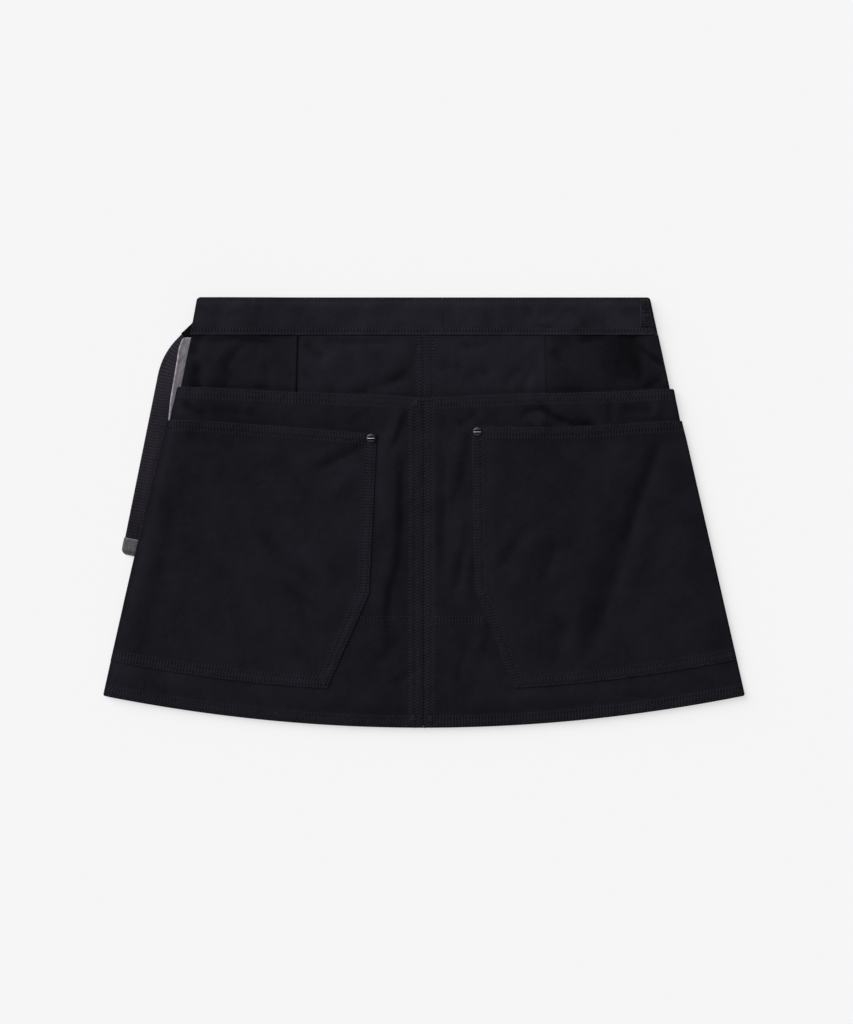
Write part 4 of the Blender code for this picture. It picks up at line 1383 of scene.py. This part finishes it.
RIB_STEP, RIB_HIGH, RIB_MIDDLE = 2.55, 1.9, 0.95
runs = np.linspace(1.0, STRAP_LONG - 1.4, 120)
line = np.array([strap_station(float(run)) for run in runs])
rib_points = np.stack([line[:, 0], LENGTH / 2 - line[:, 1], np.full(len(runs), RIB_MIDDLE)], axis=-1) * MM
rib_ups = np.tile((0.0, 0.0, 1.0), (len(runs), 1))
run_tree("strap_ribs", [(rib_points, rib_ups)], webbing, step=RIB_STEP * MM, long=RIB_STEP * 1.02 * MM,
         wide=(STRAP_WIDE - 1.0) * MM, high=RIB_HIGH * MM, unevenness=0.012, segments=12, bar=True,
         seed=4)

# each rib takes its tone from the place on the strap where it lies
rib_mesh = pieces["strap_ribs"].data
rib_places = np.zeros(len(rib_mesh.vertices) * 3)
rib_mesh.vertices.foreach_get("co", rib_places)
rib_x, rib_drop = rib_places[0::3] / MM, LENGTH / 2 - rib_places[1::3] / MM
rib_mesh.attributes["fade"].data.foreach_set("value", strap_shades(rib_x, rib_drop).astype(np.float32))

# the keeper's outline: painted shadow over the strap's corner
KEEPER_SIDE = ((20.6, 189.6), (26.0, 195.2), (29.6, 199.2), (32.6, 197.0))
places = lay_out(
    (lambda drop: -along(KEEPER_SIDE, drop), level(-BACK_BAND_END - SEAM_SLIT), level(20.6), level(32.5)),
    ((0, 0.25, 0.6, 1.2), 8, (0, 0.25, 0.6)), ((0, 0.25, 0.6, 1.2), 8, (0, 0.25, 0.6)),
)
cloth("keeper", places, strap_room, even(1.2), painted_shadow_finish)

# %% [markdown]
# ## Waist tab
#
# A short length of coarse webbing is sewn over the right end of the waistband. A ridge crosses it
# just below its middle.

# %% Waist tab
TAB_LEFT, TAB_TOP, TAB_LOW, TAB_RIDGE = 177.8, 1.8, 24.2, 15.2


def tab_under(x, drop):
    return band_under(x, drop) + band_thick(x, drop, None) + 0.25


def tab_thick(x, drop, inset):
    ribs = 0.05 * np.sin(2 * math.pi * drop / 2.3) + 0.2 * wander(x, drop, 1.5, 32)
    ridge = 0.5 * np.exp(-(((drop - TAB_RIDGE) / 0.8) ** 2))
    return 1.1 + (ribs + ridge) * smooth(inset / 1.2) + groove(inset - 1.6, 0.2, 0.6)


def tab_shades(x, drop):
    """Pale on its fold and its ridge, with painted shadow along its lower edge."""
    fold = 1.3 * np.exp(-(((drop - TAB_TOP - 1.2) / 0.9) ** 2))
    ridge = 1.82 * np.exp(-(((drop - TAB_RIDGE) / 0.8) ** 2))
    painted_shadow_low = -2.0 * np.exp(-(((drop - TAB_LOW + 0.9) / 0.8) ** 2))
    return fold + ridge + painted_shadow_low + 1.5 * wander(x, drop, 1.6, 34)


places = lay_out(
    (level(TAB_LEFT), lambda drop: along(WAISTBAND_SIDE[1], drop) - 2.0, level(TAB_TOP), level(TAB_LOW)),
    ((0, 0.25, 0.6, 1.2, 1.8), 10, (0, 0.25, 0.6, 1.2)),
    ((0, 0.25, 0.6, 1.2, 1.8), 40, (0, 0.25, 0.6, 1.2, 1.8)),
)
cloth("tab", places, tab_under, tab_thick, tab_webbing, shades=tab_shades)

# %% [markdown]
# ## Stitches
#
# Topstitching is what gives workwear its look. Each row is a path at a fixed inset from the edge it
# holds, laid on the finished surface with the surface's own slope, and the tree sets a stitch every
# 2.6 mm. The stitches are sunk by about a third of their height in the groove that they pull.

# %% Paths on a surface
def offset_path(points, inset):
    """A path moved aside by an inset, with mitred corners.

    It moves to the left as seen looking along it, with drop pointing down the page.
    """
    points = np.asarray(points, float)
    legs = np.diff(points, axis=0)
    legs /= np.linalg.norm(legs, axis=1)[:, None]
    sides = np.stack([legs[:, 1], -legs[:, 0]], axis=-1)
    before, after = np.vstack([sides[:1], sides]), np.vstack([sides, sides[-1:]])
    mitre = before + after
    mitre /= (mitre * before).sum(axis=1)[:, None]
    return points + inset * mitre


def dense(points, step=1.0):
    """The same path with a point about every step."""
    points = np.asarray(points, float)
    gaps = np.linalg.norm(np.diff(points, axis=0), axis=1)
    runs = np.concatenate([[0], np.cumsum(gaps)])
    at = np.linspace(0, runs[-1], max(2, int(runs[-1] / step)))
    return np.stack([np.interp(at, runs, points[:, 0]), np.interp(at, runs, points[:, 1])], axis=-1)


def lay_on(path, under, thick, inset=9.0, raise_by=0.06):
    """Points of a path on a piece's upper surface, and the way up from it."""
    path = dense(path)
    x, drop = path[:, 0], path[:, 1]

    def surface(x, drop):
        return under(x, drop) + thick(x, drop, np.full_like(x, inset))

    z = surface(x, drop)
    slope_x = (surface(x + 0.4, drop) - surface(x - 0.4, drop)) / 0.8
    slope_drop = (surface(x, drop + 0.4) - surface(x, drop - 0.4)) / 0.8
    normal = np.stack([-slope_x, slope_drop, np.ones_like(x)], axis=-1)
    normal /= np.linalg.norm(normal, axis=1)[:, None]
    points = np.stack([x, LENGTH / 2 - drop, z + raise_by], axis=-1) * MM
    return points, normal


def across_at(edge, x1, x2, inset=0.0, count=60):
    """A path that follows a top or bottom edge from x1 to x2, moved down by an inset."""
    x = np.linspace(x1, x2, count)
    return np.stack([x, edge(x) + inset + 0.0 * x], axis=-1)


# %% [markdown]
# Now the rows themselves, piece by piece. Where the needle went in, between two stitches, the cloth
# dips into a dent in shade. A low near-black lump, painted shadow, stands for each, half a step
# further along the row.

# %% Rows of stitches
ROW_END = 1.3
POCKET_SIDE_DROPS = (101.0, 297.0)
rows, dull_rows = [], []

for low, high in ((-184.5, 15.0), (16.4, 176.6)):
    dull_rows.append(lay_on(across_at(level(BAND_TOP_ROW), low, high), band_under, band_thick))
for low, high in ((-189.6, 15.0), (16.4, 189.6)):
    dull_rows.append(lay_on(across_at(level(BAND_LOW_ROW), low, high), band_under, band_thick))

for x in YOKE_ROWS:
    rows.append(lay_on([(x, WAISTBAND_DEEP + 1), (x, 82.0)], body_under, body_thick))
for x in APRON_ROWS:
    rows.append(lay_on([(x, 84.6), (x, hem_drop(x) - 1.5)], apron_form, apron_thick))

for inset in (ROW_NEAR, ROW_FAR):
    for low, high in ((-201.0, -0.7), (0.7, 204.0)):
        rows.append(lay_on(across_at(apron_top, low, high, inset), apron_form, apron_thick))
for inset in HEM_ROWS:
    for low, high in ((-258.0, -0.7), (0.7, 258.0)):
        rows.append(lay_on(across_at(hem_drop, low, high, -inset), apron_form, apron_thick))
for row_drop in (262.0, 268.2):
    for low, high in ((-51.0, -10.6), (10.6, 50.0)):
        rows.append(lay_on(across_at(level(row_drop), low, high), apron_form, apron_thick))


def pocket_outline(sign, edge, top_table, clear=0.5):
    """Down from the side along the mouth, the inner edge and the base, back out to the side."""
    mouth_end, bend, base_end = edge
    side = POCKET_SIDE[sign > 0]
    side_top, side_base = (along(side, drop) - clear for drop in POCKET_SIDE_DROPS)
    mouth = np.linspace(sign * side_top, sign * mouth_end[1], 40)
    base_x = sign * np.linspace(base_end[1], side_base, 40)
    corner_drop = pocket_bottom(base_x[0])
    share = (corner_drop - bend[0]) / (base_end[0] - bend[0])
    corner = (sign * (bend[1] + share * (base_end[1] - bend[1])), corner_drop)
    return [
        *((x, float(along(top_table, x))) for x in mouth),
        (sign * bend[1], bend[0]),
        corner,
        *((x, float(pocket_bottom(x))) for x in base_x[1:]),
    ]


for sign, edge, top_table, under, thick in (
    (-1, POCKET_EDGE_LEFT, POCKET_TOP_LEFT, left_under, left_thick),
    (1, POCKET_EDGE_RIGHT, POCKET_TOP_RIGHT, right_under, right_thick),
):
    outline = pocket_outline(sign, edge, top_table)
    for inset in (ROW_NEAR, ROW_FAR):
        path = offset_path(outline, inset * sign)
        inside = side_at(POCKET_SIDE, path[:, 0], path[:, 1]) - abs(path[:, 0]) > ROW_END
        rows.append(lay_on(path[inside], under, thick))

STITCH_STEP, STITCH_LONG, THREAD_WIDE, THREAD_HIGH = 2.58, 1.8, 0.6, 0.4
HOLE_LONG, HOLE_WIDE, HOLE_HIGH = 1.05, 1.1, 0.26
for name, paths, finish in (
    ("stitches", rows, new_thread),
    ("stitches_waistband", dull_rows, dull_thread),
):
    run_tree(name, paths, finish, step=STITCH_STEP * MM, long=STITCH_LONG * MM, wide=THREAD_WIDE * MM,
             high=THREAD_HIGH * MM, unevenness=0.12, segments=6, rings=4, seed=7)
# the lumps at the needle holes are painted shadow
run_tree("stitch_hole_shadows", rows, painted_shadow_finish, step=STITCH_STEP * MM, long=HOLE_LONG * MM, wide=HOLE_WIDE * MM,
         high=HOLE_HIGH * MM, unevenness=0.2, segments=6, rings=3, seed=8, shift=0.5)

# %% [markdown]
# Thread that is pulled tight gathers the cloth between two rows into fine ridges, one to a stitch,
# that run across the band, and into shorter ones just beyond it. The same tree lays them: low, long
# lumps of the same canvas, sunk until only their backs stand out. Their backs are paler than the
# cloth, partly rubbed and partly painted light.

# %% Puckers across the sewn bands
RIDGE_LONG, RIDGE_HIGH, RIDGE_SINK = 1.7, 0.5, -0.1
RIDGE_PALE_WEAR_AND_LIGHT = 1.4
BAND_MIDDLE, BAND_BETWEEN = 4.2, 5.2
BEYOND_MIDDLE, BEYOND_WIDE = 8.6, 2.8


def ridges(name, paths, finish, wide, seed, fade=RIDGE_PALE_WEAR_AND_LIGHT):
    run_tree(name, paths, finish, step=STITCH_STEP * MM, long=RIDGE_LONG * MM, wide=wide * MM,
             high=RIDGE_HIGH * MM, unevenness=0.07, segments=8, rings=6, seed=seed, fade=fade)
    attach(pieces[name], "root")


def band_path(path, under, thick):
    return lay_on(path, under, thick, raise_by=RIDGE_SINK)


ridges("puckers_waistband_top", [
    band_path(across_at(level(2.6), low, high), band_under, band_thick)
    for low, high in ((-182.0, 15.0), (16.4, 176.6))
], canvas_band, 3.0, 40, 0.9)
ridges("puckers_waistband_low", [
    band_path(across_at(level(27.0), low, high), band_under, band_thick)
    for low, high in ((-187.0, 15.0), (16.4, 188.0))
], canvas_band, 4.4, 41)
for k, (x, wide) in enumerate(((-2.8, 4.4), (3.6, 6.6), (8.6, 2.6))):
    ridges(f"puckers_yoke_{k + 1}", [
        band_path([(x, WAISTBAND_DEEP + 1.5), (x, 79.0)], body_under, body_thick)
    ], canvas_body, wide, 42 + k, 0.3)
for k, (x, wide) in enumerate(((-10.2, 4.6), (-4.4, 4.8), (3.7, 5.0), (8.6, 3.4))):
    ridges(f"puckers_seam_{k + 1}", [
        band_path([(x, 86.5), (x, hem_drop(x) - 2.5)], apron_form, apron_thick)
    ], canvas_apron, wide, 50 + k)
for k, (inset, wide) in enumerate(((BAND_MIDDLE, BAND_BETWEEN), (BEYOND_MIDDLE, BEYOND_WIDE))):
    ridges(f"puckers_apron_top_{k + 1}", [
        band_path(across_at(apron_top, low, high, inset), apron_form, apron_thick)
        for low, high in ((-200.0, -12.0), (11.0, 202.0))
    ], canvas_apron, wide, 60 + k)
    ridges(f"puckers_hem_{k + 1}", [
        band_path(across_at(hem_drop, low, high, -inset - 0.2), apron_form, apron_thick)
        for low, high in ((-256.0, -12.0), (11.0, 256.0))
    ], canvas_apron, wide, 62 + k)
ridges("puckers_row", [
    band_path(across_at(level(265.1), low, high), apron_form, apron_thick)
    for low, high in ((-48.5, -12.0), (11.0, 47.5))
], canvas_apron, 5.6, 64, 0.3)
for name, sign, edge, top_table, under, thick, finish in (
    ("puckers_pocket_left", -1, POCKET_EDGE_LEFT, POCKET_TOP_LEFT, left_under, left_thick, canvas_left),
    ("puckers_pocket_right", 1, POCKET_EDGE_RIGHT, POCKET_TOP_RIGHT, right_under, right_thick,
     canvas_right),
):
    outline = pocket_outline(sign, edge, top_table, clear=3.0)
    for k, (inset, wide) in enumerate(((BAND_MIDDLE, BAND_BETWEEN), (BEYOND_MIDDLE, BEYOND_WIDE))):
        path = band_path(offset_path(outline, inset * sign), under, thick)
        ridges(f"{name}_{k + 1}", [path], finish, wide, 66 + k)

# %% [markdown]
# Bar tacks are short, dense bars of thread that lock the ends of a seam. The same tree makes them,
# with stitches across the bar that touch each other.

# %% Bar tacks
tacks = []
for x, drop, surface in ((-7.0, 87.0, apron_form), (-8.6, 345.2, apron_form), (5.3, 345.8, apron_form)):
    for shift in np.arange(-1.6, 1.7, 0.45):
        path = [(x + shift, drop - 1.4), (x + shift, drop + 1.4)]
        tacks.append(lay_on(path, surface, apron_thick, raise_by=0.2))
run_tree("bar_tacks", tacks, dull_thread, step=1.4 * MM, long=1.8 * MM, wide=0.5 * MM, high=0.4 * MM,
         unevenness=0.1, segments=6, rings=4, seed=9)

# %% [markdown]
# ## Rivets
#
# Each pocket's upper inner corner is held by a dark metal rivet. Its domed cap has a shallow slot
# in it, and a bar of pale metal stands in the slot as a painted highlight across the cap. The cap is
# round, so its outline is spun round an axis. The slot is cut out of the faces by eight planes, and
# its floor gets the near-black painted shadow.

# %% Metal finishes
def metal_finish(name, colour, roughness, grain):
    """A metal whose colour and roughness wander by a third either way."""
    material = bpy.data.materials.new(name)
    material.use_nodes = True
    tree = material.node_tree
    shader = tree.nodes["Principled BSDF"]
    shader.inputs["Metallic"].default_value = 1.0
    places = node(tree, "ShaderNodeTexCoord")
    spots = node(tree, "ShaderNodeTexNoise", [
        ("Vector", places.outputs["Object"]), ("Scale", grain), ("Detail", 4.0),
    ])
    tone = node(tree, "ShaderNodeMapRange", [
        ("Value", spots.outputs["Fac"]), ("To Min", 0.7), ("To Max", 1.3),
    ])
    tinted = node(tree, "ShaderNodeVectorMath", [(0, colour)], operation="SCALE")
    tree.links.new(tone.outputs[0], tinted.inputs["Scale"])
    tree.links.new(tinted.outputs[0], shader.inputs["Base Color"])
    rough = node(tree, "ShaderNodeMapRange", [
        ("Value", spots.outputs["Fac"]), ("To Min", roughness * 0.7), ("To Max", roughness * 1.3),
    ])
    tree.links.new(rough.outputs[0], shader.inputs["Roughness"])
    return material


gunmetal = metal_finish("gunmetal", (0.062, 0.059, 0.068), 0.6, 900.0)
# the bar's pale metal is a painted highlight across the cap
painted_highlight_metal = metal_finish("rubbed bar", (0.75, 0.75, 0.77), 0.5, 700.0)
print("metals:", gunmetal.name, painted_highlight_metal.name)

# %% Rivets
RIVET_PROFILE = (
    (0.0, 0.0), (3.2, 0.0), (3.65, 0.15), (3.75, 0.4), (3.65, 0.7), (3.3, 0.95), (2.7, 1.2),
    (1.9, 1.38), (0.9, 1.46), (0.0, 1.5),
)
SLOT_HALF, SLOT_REACH, SLOT_FLOOR, SLOT_WALL = 1.5, 2.8, 0.6, 0.1
BAR_LONG, BAR_WIDE, BAR_ASIDE = 5.5, 0.5, -0.15
BAR_FOOT, BAR_TOP = 0.7, 1.45
RIVET_SEAT, RIVET_SUNK = 3.9, 0.25


def in_slot(vert):
    return abs(vert.co.y) <= SLOT_HALF + 1e-4 and abs(vert.co.x) <= SLOT_REACH + 1e-4


def rivet(name, node_name, x, drop, under, thick):
    """A cap and its bar, seated on the highest cloth under the cap's rim."""
    bm = bmesh.new()
    verts = [bm.verts.new((r, 0, z)) for r, z in RIVET_PROFILE]
    edges = [bm.edges.new(pair) for pair in zip(verts, verts[1:])]
    bmesh.ops.spin(bm, geom=[*verts, *edges], axis=(0, 0, 1), cent=(0, 0, 0), angle=2 * math.pi, steps=48,
                   use_merge=True)
    bmesh.ops.remove_doubles(bm, verts=bm.verts, dist=1e-4)
    bmesh.ops.recalc_face_normals(bm, faces=bm.faces)
    for facing, wall in (((0, 1, 0), SLOT_HALF), ((1, 0, 0), SLOT_REACH)):
        for away in (wall, wall + SLOT_WALL, -wall, -wall - SLOT_WALL):
            bmesh.ops.bisect_plane(bm, geom=[*bm.verts, *bm.edges, *bm.faces],
                                   plane_co=Vector(facing) * away, plane_no=facing, dist=1e-5)
    sunk = {vert for vert in bm.verts if in_slot(vert)}
    for vert in sunk:
        vert.co.z = min(SLOT_FLOOR, vert.co.z)
    # the slot's floor takes the painted-shadow black
    for face in bm.faces:
        if all(vert in sunk and vert.co.z > 0.01 for vert in face.verts):
            face.material_index = 2
    cap_faces = len(bm.faces)
    bar = bmesh.ops.create_cube(bm, size=1.0)["verts"]
    for vert in bar:
        up_the_bar = BAR_FOOT + (vert.co.z + 0.5) * (BAR_TOP - BAR_FOOT)
        vert.co = (vert.co.x * BAR_LONG, vert.co.y * BAR_WIDE + BAR_ASIDE, up_the_bar)
    bar_edges = {edge for vert in bar for edge in vert.link_edges}
    bmesh.ops.bevel(bm, geom=list(bar_edges), offset=0.16, segments=3, affect="EDGES", profile=0.6)
    bm.faces.ensure_lookup_table()
    for face in bm.faces[cap_faces:]:
        face.material_index = 1
    around = np.arange(7)
    rim_x, rim_drop = x + RIVET_SEAT * np.cos(around), drop + RIVET_SEAT * np.sin(around)
    seat = float(np.max(under(rim_x, rim_drop) + thick(rim_x, rim_drop, 9.0)))
    centre = Vector((x, LENGTH / 2 - drop, seat - RIVET_SUNK))
    for vert in bm.verts:
        vert.co = (centre + vert.co) * MM
    mesh = bpy.data.meshes.new(name)
    bm.to_mesh(mesh)
    bm.free()
    mesh.materials.append(gunmetal)
    mesh.materials.append(painted_highlight_metal)
    mesh.materials.append(painted_shadow_finish)
    mesh.shade_smooth()
    mesh.set_sharp_from_angle(angle=math.radians(38))
    piece = bpy.data.objects.new(name, mesh)
    bpy.context.scene.collection.objects.link(piece)
    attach(piece, "root")
    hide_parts(node_name)
    print(f"{name}: seat at {seat:.1f} mm")


rivet("rivet_cap_left", "rivet_left", *RIVET_LEFT, left_under, left_thick)
rivet("rivet_cap_right", "rivet_right", *RIVET_RIGHT, right_under, right_thick)

# %% [markdown]
# ## Attaching the pieces
#
# Every piece is hung from the root, and the imported node that it stands for is hidden.

# %% Attaching the pieces
for name, slot in (("stitches", "canvas"), ("stitches_waistband", "canvas"), ("stitch_hole_shadows", "canvas"),
                   ("bar_tacks", "canvas"), ("strap_ribs", "webbing")):
    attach(pieces[name], "root")

dress("strap_core", "strap")
dress("strap_end", "strap_tip")
dress("keeper", "strap_keeper")
dress("back", "back_panel")
dress("back_band", "back_waistband")
dress("facing", "side_facing")
dress("body_front_left", "body_left")
dress("body_front_right", "body_right")
dress("waistband_front_left", "waistband_left")
dress("waistband_front_right", "waistband_right")
dress("tab", "waist_tab")
dress("apron_front_left", "apron_left")
dress("apron_front_right", "apron_right")
dress("pocket_front_left", "pocket_left")
dress("pocket_front_right", "pocket_right")
